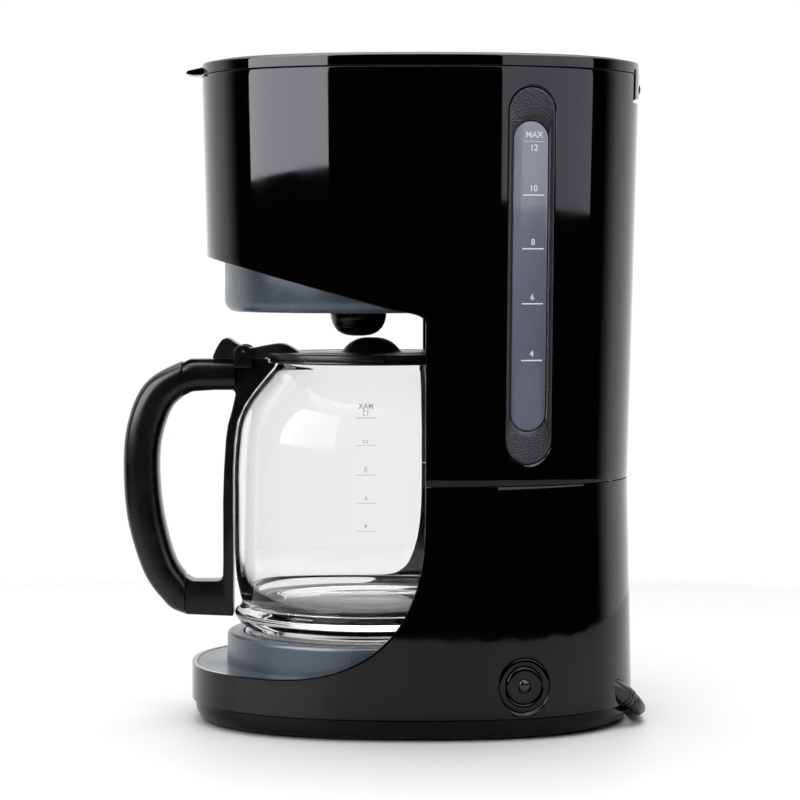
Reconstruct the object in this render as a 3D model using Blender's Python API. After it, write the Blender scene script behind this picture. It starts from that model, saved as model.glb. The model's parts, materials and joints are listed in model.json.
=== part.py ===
"""Drip coffee maker with a glass carafe, modelled as an assembly of separate pieces.

The model is in metres with +Z up. The carafe stands at the front, towards -Y, and the water gauge and
the power button are on the +X side. The origin is the middle of the machine's footprint on the table.

Dimensions are in millimetres, in the housing's own frame: its origin is the middle of the oval of the
upper housing, on the table. BODY_SHIFT moves that frame along Y, and MM turns it into metres.
"""

from math import atan2, copysign, cos, hypot, pi, radians, sin, sqrt, tau

import bmesh
import bpy
from mathutils import Matrix, Vector

MM = 0.001
GAP = 0.3

# Housing: an oval plan that is narrowest at the seam between the two shells.
BODY_SHIFT = 20.4
OVAL_POWER = 2.35
OVAL_POINTS = 48
WALL = 2.8
WAIST_DEPTH = 105.65
WAIST_WIDTH = 86.35
LOWER_FRONT = 116.8
UPPER_TAPER = 0.0255
LOWER_TAPER = 0.0209
BASE_SEAM_Z = 11.0
WAIST_Z = 123.6
LID_SEAM_Z = 325.5
LID_TOP_Z = 332.5
COLUMN_FRONT_Y = 2.0
DECK_RIM_Z = 28.7
SCREW_INSET = 15.0

# The lower shell's front edge sweeps from the deck's rim up to the column.
SWEEP_CENTRE = (-84.0, 115.0)
SWEEP_REACH = (86.0, 86.3)
SWEEP_POWER = 2.7

# The head's lower edge rises towards the front, then turns down into the column's edge.
HEAD_FRONT = (-107.0, 234.5)
HEAD_REAR = (-13.2, 208.5)
HEAD_CORNER = ((-6.8, 207.6), (-2.0, 206.4), (0.5, 205.0), (COLUMN_FRONT_Y, 202.8))

# Warming plate and carafe share one upright axis, the filter and the drip valve another.
CARAFE_Y = -25.0
FILTER_Y = -31.6
PLATE_RADIUS = 64.8
ALCOVE_RADIUS = 75.0
DRUM_RADIUS = 68.0

# Lid hinge
HINGE_Y = 104.2
HINGE_Z = 318.5
HINGE_RADIUS = 6.2
HINGE_PIN_RADIUS = 1.5
HINGE_BORE_RADIUS = 1.7
NOTCH_HALF_WIDTH = 34.0

# Water system
TANK_FLOOR_Z = 132.0
TANK_TOP_Z = 302.6
TANK_DEPTH = 102.0
TANK_WIDTH = 82.8
TANK_WALL = 1.5
TANK_FRONT_RADIUS = 79.5
RISER_Y = 59.5

# Water gauge and power button on the +X side
GAUGE_Y = 53.7
GAUGE_Z = 225.0
GAUGE_RECESS = (24.0, 181.5)
GAUGE_WINDOW = (17.6, 149.0)
BUTTON_Y = 51.1
BUTTON_Z = 27.0

# Carafe handle
HANDLE_HALF_WIDTH = 11.5
STRAP_HALF_WIDTH = 8.0

# Mains lead
CORD_RADIUS = 3.4
CORD_EXIT = (39.0, 100.9, 16.5)
CORD_DIRECTION = (-0.45, 0.74, -0.50)
RELIEF_LENGTH = 6.0
COIL_CENTRE = (-146.0, 54.0)
COIL_RADIUS = 38.5
COIL_BOTTOM_Z = 0.4
PLUG_TAIL = (-112.0, 42.0, 21.8)
PLUG_TILT = radians(17.0)
PLUG_LENGTH = 46.0

PALETTE = {
    "gloss_black": ((0.006, 0.006, 0.007), 0.08, 0.0),
    "satin_black": ((0.012, 0.012, 0.013), 0.35, 0.0),
    "slate_grey": ((0.065, 0.083, 0.105), 0.42, 0.0),
    "tank_plastic": ((0.30, 0.36, 0.42), 0.25, 0.0),
    "gauge_glazing": ((0.12, 0.15, 0.20), 0.15, 0.0),
    "clear_glass": ((0.90, 0.93, 0.93), 0.03, 0.0),
    "plate_coating": ((0.03, 0.03, 0.032), 0.5, 0.0),
    "aluminium": ((0.60, 0.61, 0.62), 0.35, 1.0),
    "steel": ((0.55, 0.55, 0.56), 0.3, 1.0),
    "brass": ((0.75, 0.58, 0.30), 0.3, 1.0),
    "silicone": ((0.70, 0.68, 0.62), 0.6, 0.0),
    "rubber": ((0.02, 0.02, 0.02), 0.8, 0.0),
    "clear_plastic": ((0.75, 0.78, 0.80), 0.15, 0.0),
    "wire_sheath": ((0.55, 0.05, 0.04), 0.5, 0.0),
}


# ---------------------------------------------------------------- shape tools

def finish(name, shape, matrix=None):
    """Close a bmesh into an object, with its faces pointing out."""
    if matrix is not None:
        lengths = Matrix.Translation(matrix.translation * MM) @ matrix.to_3x3().to_4x4()
        bmesh.ops.transform(shape, matrix=lengths, verts=shape.verts)
    bmesh.ops.recalc_face_normals(shape, faces=shape.faces)
    mesh = bpy.data.meshes.new(name)
    shape.to_mesh(mesh)
    shape.free()
    piece = bpy.data.objects.new(name, mesh)
    bpy.context.scene.collection.objects.link(piece)
    return piece


def loft(name, rings, matrix=None):
    """Skin rings of equal length into one closed solid with flat ends."""
    shape = bmesh.new()
    loops = [[shape.verts.new(Vector(point) * MM) for point in ring] for ring in rings]
    for lower, upper in zip(loops, loops[1:]):
        for i in range(len(lower)):
            j = (i + 1) % len(lower)
            shape.faces.new((lower[i], lower[j], upper[j], upper[i]))
    shape.faces.new(loops[0][::-1])
    shape.faces.new(loops[-1])
    return finish(name, shape, matrix)


def lathe(name, profile, centre=(0.0, 0.0), segments=32, matrix=None):
    """Turn a closed outline of (radius, height) points about an upright axis."""
    shape = bmesh.new()
    rings = []
    for radius, height in profile:
        if radius < 1e-6:
            rings.append([shape.verts.new(Vector((*centre, height)) * MM)] * segments)
            continue
        ring = []
        for i in range(segments):
            turn = tau * i / segments
            spot = (centre[0] + radius * cos(turn), centre[1] + radius * sin(turn), height)
            ring.append(shape.verts.new(Vector(spot) * MM))
        rings.append(ring)
    for first, second in zip(rings, rings[1:] + rings[:1]):
        for i in range(segments):
            j = (i + 1) % segments
            corners = list(dict.fromkeys((first[i], first[j], second[j], second[i])))
            if len(corners) > 2:
                shape.faces.new(corners)
    return finish(name, shape, matrix)


def prism(name, outline, low, high, axis="z", matrix=None):
    """Extrude a flat outline along one axis, from low to high."""
    place = {
        "x": lambda a, b, level: (level, a, b),
        "y": lambda a, b, level: (a, level, b),
        "z": lambda a, b, level: (a, b, level),
    }[axis]
    return loft(name, [[place(a, b, level) for a, b in outline] for level in (low, high)], matrix)


def block(name, low, high):
    """Box between two corners."""
    outline = ((low[0], low[1]), (high[0], low[1]), (high[0], high[1]), (low[0], high[1]))
    return prism(name, outline, low[2], high[2])


def rod(name, start, end, radius, segments=10):
    """Straight round bar between two points."""
    along = Vector(end) - Vector(start)
    matrix = Matrix.Translation(start) @ along.to_track_quat("Z", "Y").to_matrix().to_4x4()
    outline = ((0.0, 0.0), (radius, 0.0), (radius, along.length), (0.0, along.length))
    return lathe(name, outline, segments=segments, matrix=matrix)


def combine(target, tool, operation="DIFFERENCE"):
    """Apply a Boolean of tool to target and remove the tool."""
    change = target.modifiers.new("change", "BOOLEAN")
    change.object = tool
    change.operation = operation
    graph = bpy.context.evaluated_depsgraph_get()
    mesh = bpy.data.meshes.new_from_object(target.evaluated_get(graph))
    target.modifiers.clear()
    target.data = mesh
    bpy.data.objects.remove(tool)
    return target


def smooth(points, steps):
    """Points along a Catmull-Rom curve through the given points."""
    spots = [Vector(point) for point in points]
    spots = [2 * spots[0] - spots[1]] + spots + [2 * spots[-1] - spots[-2]]
    curve = []
    for before, start, end, after in zip(spots, spots[1:], spots[2:], spots[3:]):
        for step in range(steps):
            t = step / steps
            bend = (end - before) * t
            bend += (2 * before - 5 * start + 4 * end - after) * t * t
            bend += (3 * start - before - 3 * end + after) * t * t * t
            curve.append(start + bend / 2)
    curve.append(spots[-2])
    return curve


def tube(name, points, radius, steps=2, roundness=2):
    """Round flexible tube along a smooth curve through the given points."""
    curve = bpy.data.curves.new(name, "CURVE")
    curve.dimensions = "3D"
    curve.bevel_depth = radius * MM
    curve.bevel_resolution = roundness
    curve.use_fill_caps = True
    line = smooth(points, steps)
    spline = curve.splines.new("POLY")
    spline.points.add(len(line) - 1)
    for point, spot in zip(spline.points, line):
        point.co = (*(spot * MM), 1.0)
    piece = bpy.data.objects.new(name, curve)
    bpy.context.scene.collection.objects.link(piece)
    return piece


def stadium(width, height, count=10):
    """Upright slot outline with round ends, about its middle."""
    radius = width / 2
    straight = height / 2 - radius
    upper = [(radius * cos(pi * i / count), straight + radius * sin(pi * i / count)) for i in range(count + 1)]
    return upper + [(-x, -z) for x, z in upper]


def superellipse(angle, width, depth, power=OVAL_POWER):
    """Point of a superellipse at a parameter angle."""
    x = width * copysign(abs(cos(angle)) ** (2 / power), cos(angle))
    y = depth * copysign(abs(sin(angle)) ** (2 / power), sin(angle))
    return x, y


def oval(front, rear, width):
    """Plan outline whose front and rear halves have their own depths."""
    outline = []
    for i in range(OVAL_POINTS):
        angle = tau * i / OVAL_POINTS
        outline.append(superellipse(angle, width, rear if angle < pi else front))
    return outline


def upper_ring(z, inset=0.0):
    """Outline of the upper housing at a height, moved in by an inset."""
    grow = UPPER_TAPER * (z - WAIST_Z) - inset
    return [(x, y, z) for x, y in oval(WAIST_DEPTH + grow, WAIST_DEPTH + grow, WAIST_WIDTH + grow)]


def lower_ring(z, inset=0.0):
    """Outline of the lower housing at a height, moved in by an inset."""
    grow = LOWER_TAPER * (WAIST_Z - z) - inset
    return [(x, y, z) for x, y in oval(LOWER_FRONT - inset, WAIST_DEPTH + grow, WAIST_WIDTH + grow)]


def side_frame(y, z, taper):
    """Axes on the +X wall: along the wall, up the wall and out of it, at a place on its surface."""
    grow = UPPER_TAPER * (z - WAIST_Z) if z > WAIST_Z else LOWER_TAPER * (WAIST_Z - z)
    depth = WAIST_DEPTH + grow
    width = WAIST_WIDTH + grow
    x = width * (1 - (y / depth) ** OVAL_POWER) ** (1 / OVAL_POWER)
    slope_x = (x / width) ** (OVAL_POWER - 1) / width
    slope_y = (y / depth) ** (OVAL_POWER - 1) / depth
    out = Vector((slope_x, slope_y, -taper * hypot(slope_x, slope_y))).normalized()
    along = Vector((0, 0, 1)).cross(out).normalized()
    up = out.cross(along)
    return Matrix.Translation((x, y, z)) @ Matrix((along, up, out)).transposed().to_4x4()


# ---------------------------------------------------------------- scene tools

def clear_scene():
    for piece in list(bpy.data.objects):
        bpy.data.objects.remove(piece)


def make_materials():
    """One Principled material for each entry of the palette."""
    materials = {}
    for name, (colour, roughness, metallic) in PALETTE.items():
        material = bpy.data.materials.new(name)
        material.use_nodes = True
        shader = material.node_tree.nodes["Principled BSDF"]
        shader.inputs["Base Color"].default_value = (*colour, 1.0)
        shader.inputs["Roughness"].default_value = roughness
        shader.inputs["Metallic"].default_value = metallic
        materials[name] = material
    return materials


def pivot(name, parent=None, spot=(0.0, 0.0, 0.0)):
    """Empty that its pieces turn or slide with, given in the housing's frame."""
    empty = bpy.data.objects.new(name, None)
    bpy.context.scene.collection.objects.link(empty)
    empty.location = Vector(spot) * MM
    empty.parent = parent
    return empty


def hang(pieces, empty, materials):
    """Parent pieces to an empty, with each piece's origin on it, and give them their materials."""
    for piece, material in pieces:
        shift = -empty.location if empty.parent else Vector()
        if piece.type == "CURVE":
            for point in piece.data.splines[0].points:
                point.co = (*(point.co.xyz + shift), 1.0)
        else:
            piece.data.transform(Matrix.Translation(shift))
            piece.data.shade_smooth()
            piece.data.set_sharp_from_angle(angle=radians(32))
        piece.data.materials.clear()
        piece.data.materials.append(materials[material])
        piece.parent = empty


# ---------------------------------------------------------------- base

def screw_places():
    """Screw positions on the flat of the bottom, one on each diagonal of the base."""
    grow = LOWER_TAPER * (WAIST_Z - BASE_SEAM_Z) - SCREW_INSET
    places = []
    for side in (-1, 1):
        for depth, end in ((WAIST_DEPTH + grow, 1), (LOWER_FRONT - SCREW_INSET, -1)):
            x, y = superellipse(radians(45), WAIST_WIDTH + grow, depth)
            places.append((side * x, end * y))
    return places


def build_bottom():
    """Bottom cover with its feet and screws."""
    outside = ((0.8, 7.5), (1.7, 4.8), (3.6, 2.9), (6.5, 2.0), (10.7, 1.8))
    inside = ((4.6, 9.0), (6.0, 6.6), (12.0, 5.4))
    cover = loft("bottom_cover", [lower_ring(z, inset) for z, inset in outside])
    combine(cover, loft("hollow", [lower_ring(z, inset) for z, inset in inside]))
    pieces = [(cover, "satin_black")]
    for x, y in screw_places():
        combine(cover, rod("boss", (x, y, 4.0), (x, y, 10.4), 5.0), "UNION")
    for number, (x, y) in enumerate(screw_places(), 1):
        combine(cover, rod("hole", (x, y, 0.0), (x, y, 12.0), 2.1))
        combine(cover, rod("counterbore", (x, y, 0.0), (x, y, 4.4), 3.9))
        profile = ((0.0, 1.9), (3.5, 1.9), (3.5, 4.1), (1.8, 4.1), (1.8, 21.0), (0.0, 22.0))
        pieces.append((lathe(f"base_screw_{number}", profile, (x, y), 10), "steel"))
    for number, (x, y) in enumerate(((-43, -62), (43, -62), (-39, 62), (39, 62)), 1):
        combine(cover, rod("pocket", (x, y, 0.0), (x, y, 3.3), 9.3, 16))
        profile = ((0.0, 3.0), (9.0, 3.0), (9.0, 0.6), (8.4, 0.0), (0.0, 0.0))
        pieces.append((lathe(f"rubber_foot_{number}", profile, (x, y), 16), "rubber"))
    return pieces


def sweep_outline():
    """Side view of what is cut away above and in front of the lower shell's edge."""
    arc = []
    for i in range(15):
        y, z = superellipse(radians(90) * (1 - i / 14), SWEEP_REACH[0], SWEEP_REACH[1], SWEEP_POWER)
        arc.append((SWEEP_CENTRE[0] + y, SWEEP_CENTRE[1] - z))
    return [(-130.0, DECK_RIM_Z)] + arc + [(COLUMN_FRONT_Y, 140.0), (-130.0, 140.0)]


def build_lower_housing():
    """Open shell around the base and the lower column."""
    shell = loft("lower_housing", [lower_ring(BASE_SEAM_Z), lower_ring(WAIST_Z - GAP / 2)])
    combine(shell, loft("hollow", [lower_ring(5.0, WALL), lower_ring(WAIST_Z + 5.0, WALL)]))
    combine(shell, prism("sweep", sweep_outline(), -120.0, 120.0, "x"))
    for x, y in screw_places():
        post = rod("boss", (x, y, BASE_SEAM_Z + 0.4), (x, y, 24.0), 5.0)
        reach = 1 + (SCREW_INSET - 1.5) / hypot(x, y)
        combine(post, rod("rib", (x, y, 18.0), (x * reach, y * reach, 18.0), 2.5), "UNION")
        combine(shell, post, "UNION")
        combine(shell, rod("bore", (x, y, 5.0), (x, y, 22.5), 2.1))
    button = side_frame(BUTTON_Y, BUTTON_Z, -LOWER_TAPER)
    combine(shell, lathe("button_hole", ((0, -12), (13.7, -12), (13.7, 8), (0, 8)), matrix=button))
    exit_point = Vector(CORD_EXIT)
    heading = Vector(CORD_DIRECTION).normalized()
    combine(shell, rod("cord_hole", exit_point - heading * 20, exit_point + heading * 25, 5.3, 24))
    return shell


def build_deck():
    """Grey deck with the raised collar around the warming plate."""
    outline = oval(LOWER_FRONT - WALL - GAP, WAIST_DEPTH, WAIST_WIDTH + 2.0 - WALL - GAP)
    deck = prism("base_deck", outline, 26.3, 28.5)
    combine(deck, block("rear", (-100, 52.5, 20), (100, 120, 40)))
    combine(deck, block("switch_clearance", (52, 32, 20), (100, 120, 40)))
    combine(deck, rod("opening", (0, CARAFE_Y, 20), (0, CARAFE_Y, 40), 72.8, 40))
    collar = ((74.0, 26.3), (74.0, 42.5), (73.3, 43.6), (72.5, 44.0), (65.5, 44.0), (65.5, 41.8),
              (71.5, 41.8), (71.5, 26.3))
    combine(deck, lathe("collar", collar, (0, CARAFE_Y), 40), "UNION")
    return deck


def build_heater():
    """Warming plate, its water heater and the safety parts clamped under it."""
    plate_profile = ((0.0, 44.3), (PLATE_RADIUS, 44.3), (PLATE_RADIUS, 41.5), (70.5, 41.5), (70.5, 40.0),
                     (0.0, 40.0))
    plate = lathe("hot_plate", plate_profile, (0, CARAFE_Y), 36)
    bar = []
    for i in range(13):
        turn = radians(130 + 280 * i / 12)
        bar.append((45 * cos(turn), CARAFE_Y + 45 * sin(turn), 35.0))
    bar = [(bar[0][0], bar[0][1] + 9, 33.5)] + bar + [(bar[-1][0], bar[-1][1] + 9, 33.5)]
    element = tube("heating_element", bar, 4.4, steps=1)
    clamp = block("heater_clamp", (-22, CARAFE_Y - 16, 36.0), (22, CARAFE_Y + 16, 39.7))
    thermostat = lathe("thermostat", ((0, 28), (9, 28), (9, 35.7), (0, 35.7)), (-8, CARAFE_Y), 14)
    fuse = rod("thermal_fuse", (12, CARAFE_Y - 9, 33.2), (12, CARAFE_Y + 9, 33.2), 2.4)
    return [(plate, "plate_coating"), (element, "aluminium"), (clamp, "steel"), (thermostat, "steel"),
            (fuse, "brass")]


# ---------------------------------------------------------------- column and head

def build_upper_housing():
    """Tall shell of the column and the head."""
    low, high = WAIST_Z + GAP / 2, LID_SEAM_Z
    shell = loft("upper_housing", [upper_ring(low), upper_ring(high)])
    combine(shell, loft("hollow", [upper_ring(low - 5, WALL), upper_ring(high + 5, WALL)]))
    slope = (HEAD_FRONT[1] - HEAD_REAR[1]) / (HEAD_FRONT[0] - HEAD_REAR[0])
    far_front = (-130.0, HEAD_FRONT[1] + slope * (-130.0 - HEAD_FRONT[0]))
    edge = [(-130.0, 100.0), (COLUMN_FRONT_Y, 100.0)] + list(HEAD_CORNER[::-1]) + [HEAD_REAR, far_front]
    combine(shell, prism("under_head", edge, -120.0, 120.0, "x"))
    notch = (-NOTCH_HALF_WIDTH, 90.0, HINGE_Z - 7.2), (NOTCH_HALF_WIDTH, 130.0, high + 10)
    combine(shell, block("hinge_notch", *notch))
    return combine(shell, gauge_slot(-12.0))


def gauge_slot(depth):
    """Cutter for the gauge's opening, from a depth in the wall outwards."""
    outline = stadium(GAUGE_RECESS[0] + 2 * GAP, GAUGE_RECESS[1] + 2 * GAP)
    return prism("gauge_slot", outline, depth, 6.0, matrix=side_frame(GAUGE_Y, GAUGE_Z, UPPER_TAPER))


def build_gauge():
    """Dished frame and smoky window of the water gauge."""
    gauge = side_frame(GAUGE_Y, GAUGE_Z, UPPER_TAPER)
    recess_rings = ((GAUGE_RECESS[0], GAUGE_RECESS[1], -3.6), (GAUGE_RECESS[0], GAUGE_RECESS[1], -0.9))
    frame = loft("gauge_frame", [[(a, b, level) for a, b in stadium(width, height)]
                                 for width, height, level in recess_rings], gauge)
    width, height = GAUGE_WINDOW
    dish = ((width + 0.6, -4.6), (width + 0.6, -2.2), (width + 4.8, -0.8))
    combine(frame, loft("dish", [[(a, b, level) for a, b in stadium(size, size + height - width)]
                                 for size, level in dish], gauge))
    window = prism("gauge_window", stadium(width, height), -3.5, -1.7, matrix=gauge)
    return [(frame, "satin_black"), (window, "gauge_glazing")]


def shell_interior(inset, low, high):
    """Solid that fills the housings' inside between two heights, set in from their walls."""
    rings = []
    for z in (low, WAIST_Z, high):
        grow = UPPER_TAPER * (z - WAIST_Z) if z > WAIST_Z else LOWER_TAPER * (WAIST_Z - z)
        grow -= WALL + inset
        rings.append([(x, y, z) for x, y in oval(WAIST_DEPTH + grow, WAIST_DEPTH + grow, WAIST_WIDTH + grow)])
    return loft("interior", rings)


def build_column_panel():
    """Grey panel behind the carafe: a concave wall with a flange to each side."""
    outline = []
    for radius, y in ((ALCOVE_RADIUS, 4.5), (ALCOVE_RADIUS + 2.5, 7.0)):
        rise = y - CARAFE_Y
        start = atan2(rise, sqrt(radius * radius - rise * rise))
        arc = []
        for i in range(19):
            turn = pi - start - (pi - 2 * start) * i / 18
            arc.append((radius * cos(turn), CARAFE_Y + radius * sin(turn)))
        line = [(-90.0, y)] + arc + [(90.0, y)]
        outline += line if not outline else line[::-1]
    panel = prism("column_panel", outline, DECK_RIM_Z + 0.1, 204.0)
    return combine(panel, shell_interior(GAP, 10.0, 220.0), "INTERSECT")


def build_basket_housing():
    """Grey drum that holds the filter, with the sloping apron that closes the head from below."""
    apron_low = [(-112.0, 236.3), (HEAD_REAR[0], 208.9), (-6.8, 208.0), (-2.0, 206.8), (1.0, 205.6),
                 (2.6, 204.6), (54.0, 204.6)]
    outline = apron_low + [(y, z + 2.0) for y, z in apron_low[::-1]]
    apron = prism("basket_housing", outline, -100.0, 100.0, "x")
    combine(apron, shell_interior(GAP, 190.0, 250.0), "INTERSECT")
    behind = block("behind", (-110, 4.5, 190), (110, 120, 260))
    combine(behind, rod("alcove", (0, CARAFE_Y, 180), (0, CARAFE_Y, 270), ALCOVE_RADIUS + 3.6, 36))
    combine(apron, behind)
    drum = ((0, 207.0), (63.0, 207.0), (66.5, 208.5), (DRUM_RADIUS, 212.0), (DRUM_RADIUS, 300.0), (0, 300.0))
    combine(apron, lathe("drum", drum, (0, FILTER_Y), 36), "UNION")
    inside = ((0, 209.5), (62.0, 209.5), (65.5, 213.0), (65.5, 310.0), (0, 310.0))
    combine(apron, lathe("inside", inside, (0, FILTER_Y), 36))
    return combine(apron, rod("outlet", (0, FILTER_Y, 200), (0, FILTER_Y, 215), 15.0, 20))


def build_filter_parts():
    """Filter basket with its bail."""
    profile = ((5.4, 213.5), (42.0, 213.5), (62.0, 300.4), (64.0, 300.4), (67.2, 300.6), (67.2, 302.2),
               (62.0, 302.2), (60.2, 300.0), (40.3, 216.0), (5.4, 216.0))
    basket = lathe("filter_basket", profile, (0, FILTER_Y), 28)
    arc = []
    for i in range(13):
        turn = radians(184 + 172 * i / 12)
        arc.append((58.5 * cos(turn), FILTER_Y + 58.5 * sin(turn), 304.2))
    bail = tube("basket_bail", arc, 1.5, steps=1, roundness=1)
    return [(basket, "satin_black"), (bail, "satin_black")]


def build_drip_valve():
    """Drip stop: the domed plunger that the carafe's lid lifts."""
    profile = ((0, 194.5), (6, 194.8), (10.5, 197), (13.3, 200.5), (14.3, 204.5), (14.3, 206.0),
               (12.5, 206.0), (12.5, 199.0), (3.8, 199.0), (3.8, 216.4), (8.5, 216.4), (8.5, 218.3),
               (0, 218.3))
    return lathe("drip_stop_valve", profile, (0, FILTER_Y), 20)


def build_drip_spring():
    """Coil spring between the plunger's dome and the filter's floor."""
    line = []
    for i in range(29):
        turn = tau * 3.5 * i / 28
        line.append((8.4 * cos(turn), FILTER_Y + 8.4 * sin(turn), 199.9 + 12.8 * i / 28))
    return tube("drip_stop_spring", line, 0.6, steps=1, roundness=1)


def tank_solid(name, inset, low, high):
    """Crescent block behind the alcove, with a channel for the riser on its front."""
    solid = prism(name, oval(TANK_DEPTH - inset, TANK_DEPTH - inset, TANK_WIDTH - inset), low, high)
    front = TANK_FRONT_RADIUS + inset
    combine(solid, rod("alcove", (0, CARAFE_Y, low - 9), (0, CARAFE_Y, high + 9), front, 40))
    combine(solid, block("front", (-110, -120, low - 9), (110, 7.4 + inset, high + 9)))
    combine(solid, block("channel", (-13 - inset, 20, low - 9), (13 + inset, 66 + inset, high + 9)))
    return solid


def build_tank():
    """Water tank, open at the top, with its outlet in the floor."""
    tank = tank_solid("water_tank", 0.0, TANK_FLOOR_Z, TANK_TOP_Z)
    combine(tank, tank_solid("water", TANK_WALL, TANK_FLOOR_Z + TANK_WALL, TANK_TOP_Z + 8))
    return combine(tank, rod("outlet", (37, 85, 120), (37, 85, 140), 4.0))


def build_top_frame():
    """Frame under the lid, around the filter and the filling opening, with the hinge's middle knuckle."""
    frame = shell_interior(GAP, 100.0, 305.0)
    frame.name = "top_frame"
    combine(frame, block("below", (-110, -120, 90), (110, 120, 303.0)))
    combine(frame, rod("filter_opening", (0, FILTER_Y, 290), (0, FILTER_Y, 320), 69.0, 36))
    combine(frame, tank_solid("filling_opening", 4.5, 290.0, 320.0))
    combine(frame, gauge_slot(-4.2))
    combine(frame, rod("riser_opening", (0, RISER_Y, 290), (0, RISER_Y, 320), 5.2, 12))
    post = ((97.0, 304.0), (105.4, 304.0), (105.4, HINGE_Z), (97.0, HINGE_Z))
    combine(frame, prism("post", post, -20.0, 20.0, "x"), "UNION")
    knuckle = rod("knuckle", (-20, HINGE_Y, HINGE_Z), (20, HINGE_Y, HINGE_Z), HINGE_RADIUS, 16)
    combine(frame, knuckle, "UNION")
    bore = rod("bore", (-40, HINGE_Y, HINGE_Z), (40, HINGE_Y, HINGE_Z), HINGE_BORE_RADIUS)
    return combine(frame, bore)


def build_water_path():
    """Hoses, check valve and riser between the tank, the heater and the spray head."""
    valve_body = lathe("check_valve_body", ((2.6, 108), (9, 108), (9, 131.6), (4.6, 131.6), (4.6, 120),
                                            (2.6, 118)), (37, 85), 24)
    ball = lathe("check_ball", [(3.6 * sin(pi * i / 8), 122.6 - 3.6 * cos(pi * i / 8)) for i in range(9)],
                 (37, 85), 16)
    cold = ((28.9, 20.0, 33.0), (29.6, 25, 30.6), (31.5, 29, 24), (34, 36, 17), (37, 52, 16), (37, 70, 20),
            (37, 82, 36), (37, 85, 60), (37, 85, 85), (37, 85, 107.5))
    hot = ((-28.9, 20.0, 33.0), (-29.6, 25, 30.6), (-30, 29, 24), (-28, 38, 16.5), (-16, 57, 16), (-5, 63, 25),
           (0, 60.5, 36), (0, RISER_Y, 44), (0, RISER_Y, 49.5))
    riser = lathe("riser_tube", ((3.0, 50), (4.5, 50), (4.5, 306), (3.0, 306)), (0, RISER_Y), 20)
    return [(valve_body, "silicone"), (ball, "steel"), (tube("cold_water_hose", cold, 4.5), "silicone"),
            (tube("hot_water_hose", hot, 4.5), "silicone"), (riser, "clear_plastic")]


# ---------------------------------------------------------------- lid

def build_lid():
    """Top lid with its liner and the spray head that it carries."""
    low = LID_SEAM_Z + GAP
    outside = ((low, 0.0), (329.5, 0.0), (331.5, 1.2), (LID_TOP_Z, 4.0))
    lid = loft("top_lid", [upper_ring(z, inset) for z, inset in outside])
    combine(lid, loft("hollow", [upper_ring(low - 5, 2.4), upper_ring(328.6, 2.4), upper_ring(330.2, 4.6)]))
    tab = ((-109.6, 326.0), (-111.3, 326.0), (-114.0, 325.9), (-117.4, 326.4), (-118.0, 327.2),
           (-117.2, 328.3), (-109.6, 329.8))
    combine(lid, prism("tab", tab, -18.0, 18.0, "x"), "UNION")
    for side in (-1, 1):
        inner, outer = sorted((side * 22.0, side * 33.0))
        knuckle = rod("knuckle", (inner, HINGE_Y, HINGE_Z), (outer, HINGE_Y, HINGE_Z), HINGE_RADIUS, 16)
        arm = ((HINGE_Y, 313.2), (109.2, 313.8), (110.0, 315.0), (110.2, 324.5), (103.0, 331.0),
               (HINGE_Y - 3.0, 331.0), (HINGE_Y - 4.0, HINGE_Z))
        combine(knuckle, prism("arm", arm, inner, outer, "x"), "UNION")
        combine(knuckle, loft("rear", [upper_ring(300, -0.6), upper_ring(340, -0.6)]), "INTERSECT")
        combine(lid, knuckle, "UNION")
    bore = rod("bore", (-29, HINGE_Y, HINGE_Z), (29, HINGE_Y, HINGE_Z), HINGE_BORE_RADIUS)
    combine(lid, bore)
    liner = loft("lid_liner", [upper_ring(326.2, 3.0), upper_ring(327.6, 3.0)])
    combine(liner, block("hinge_side", (-35, 96, 320), (35, 130, 335)))
    head = ((0, 307.4), (20, 307.4), (22, 309.4), (22, 325.9), (20.2, 325.9), (20.2, 310.0), (0, 310.0))
    spray = lathe("spray_head", head, (0, FILTER_Y), 24)
    channel = block("channel", (-8, FILTER_Y + 21, 309.5), (8, RISER_Y + 8, 325.9))
    combine(channel, block("flow", (-6.4, FILTER_Y + 10, 311.0), (6.4, RISER_Y + 6.4, 330.0)))
    combine(channel, rod("inlet", (0, RISER_Y, 300), (0, RISER_Y, 320), 3.2, 12))
    combine(spray, channel, "UNION")
    for i in range(4):
        turn = tau * i / 4
        spot = (12 * cos(turn), FILTER_Y + 12 * sin(turn))
        combine(spray, rod("drip_hole", (*spot, 300), (*spot, 320), 1.6, 6))
    pin = rod("lid_hinge_pin", (-28.6, HINGE_Y, HINGE_Z), (28.6, HINGE_Y, HINGE_Z), HINGE_PIN_RADIUS)
    return [(lid, "gloss_black"), (liner, "slate_grey"), (spray, "slate_grey")], [(pin, "steel")]


# ---------------------------------------------------------------- switch and wiring

def build_switch():
    """Bezel and module of the lit power switch, and the button with its lens."""
    side = side_frame(BUTTON_Y, BUTTON_Z, -LOWER_TAPER)
    bezel = lathe("switch_bezel", ((9.3, -6.0), (13.4, -6.0), (13.4, -1.2), (12.2, -0.9), (10.2, -1.4),
                                   (9.3, -0.9)), segments=28, matrix=side)
    button = lathe("power_button", ((3.1, -5.0), (9.0, -5.0), (9.0, -0.8), (8.3, -0.2), (3.1, -0.2)),
                   segments=28, matrix=side)
    lens = lathe("indicator_lens", ((0, -5.0), (2.8, -5.0), (2.8, -0.2), (1.8, 0.4), (0, 0.6)),
                 segments=12, matrix=side)
    module = prism("switch_module", ((-10, -10), (10, -10), (10, 10), (-10, 10)), -24.0, -8.4, matrix=side)
    return [(bezel, "gloss_black"), (module, "satin_black")], [(button, "gloss_black"), (lens, "clear_plastic")]


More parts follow.
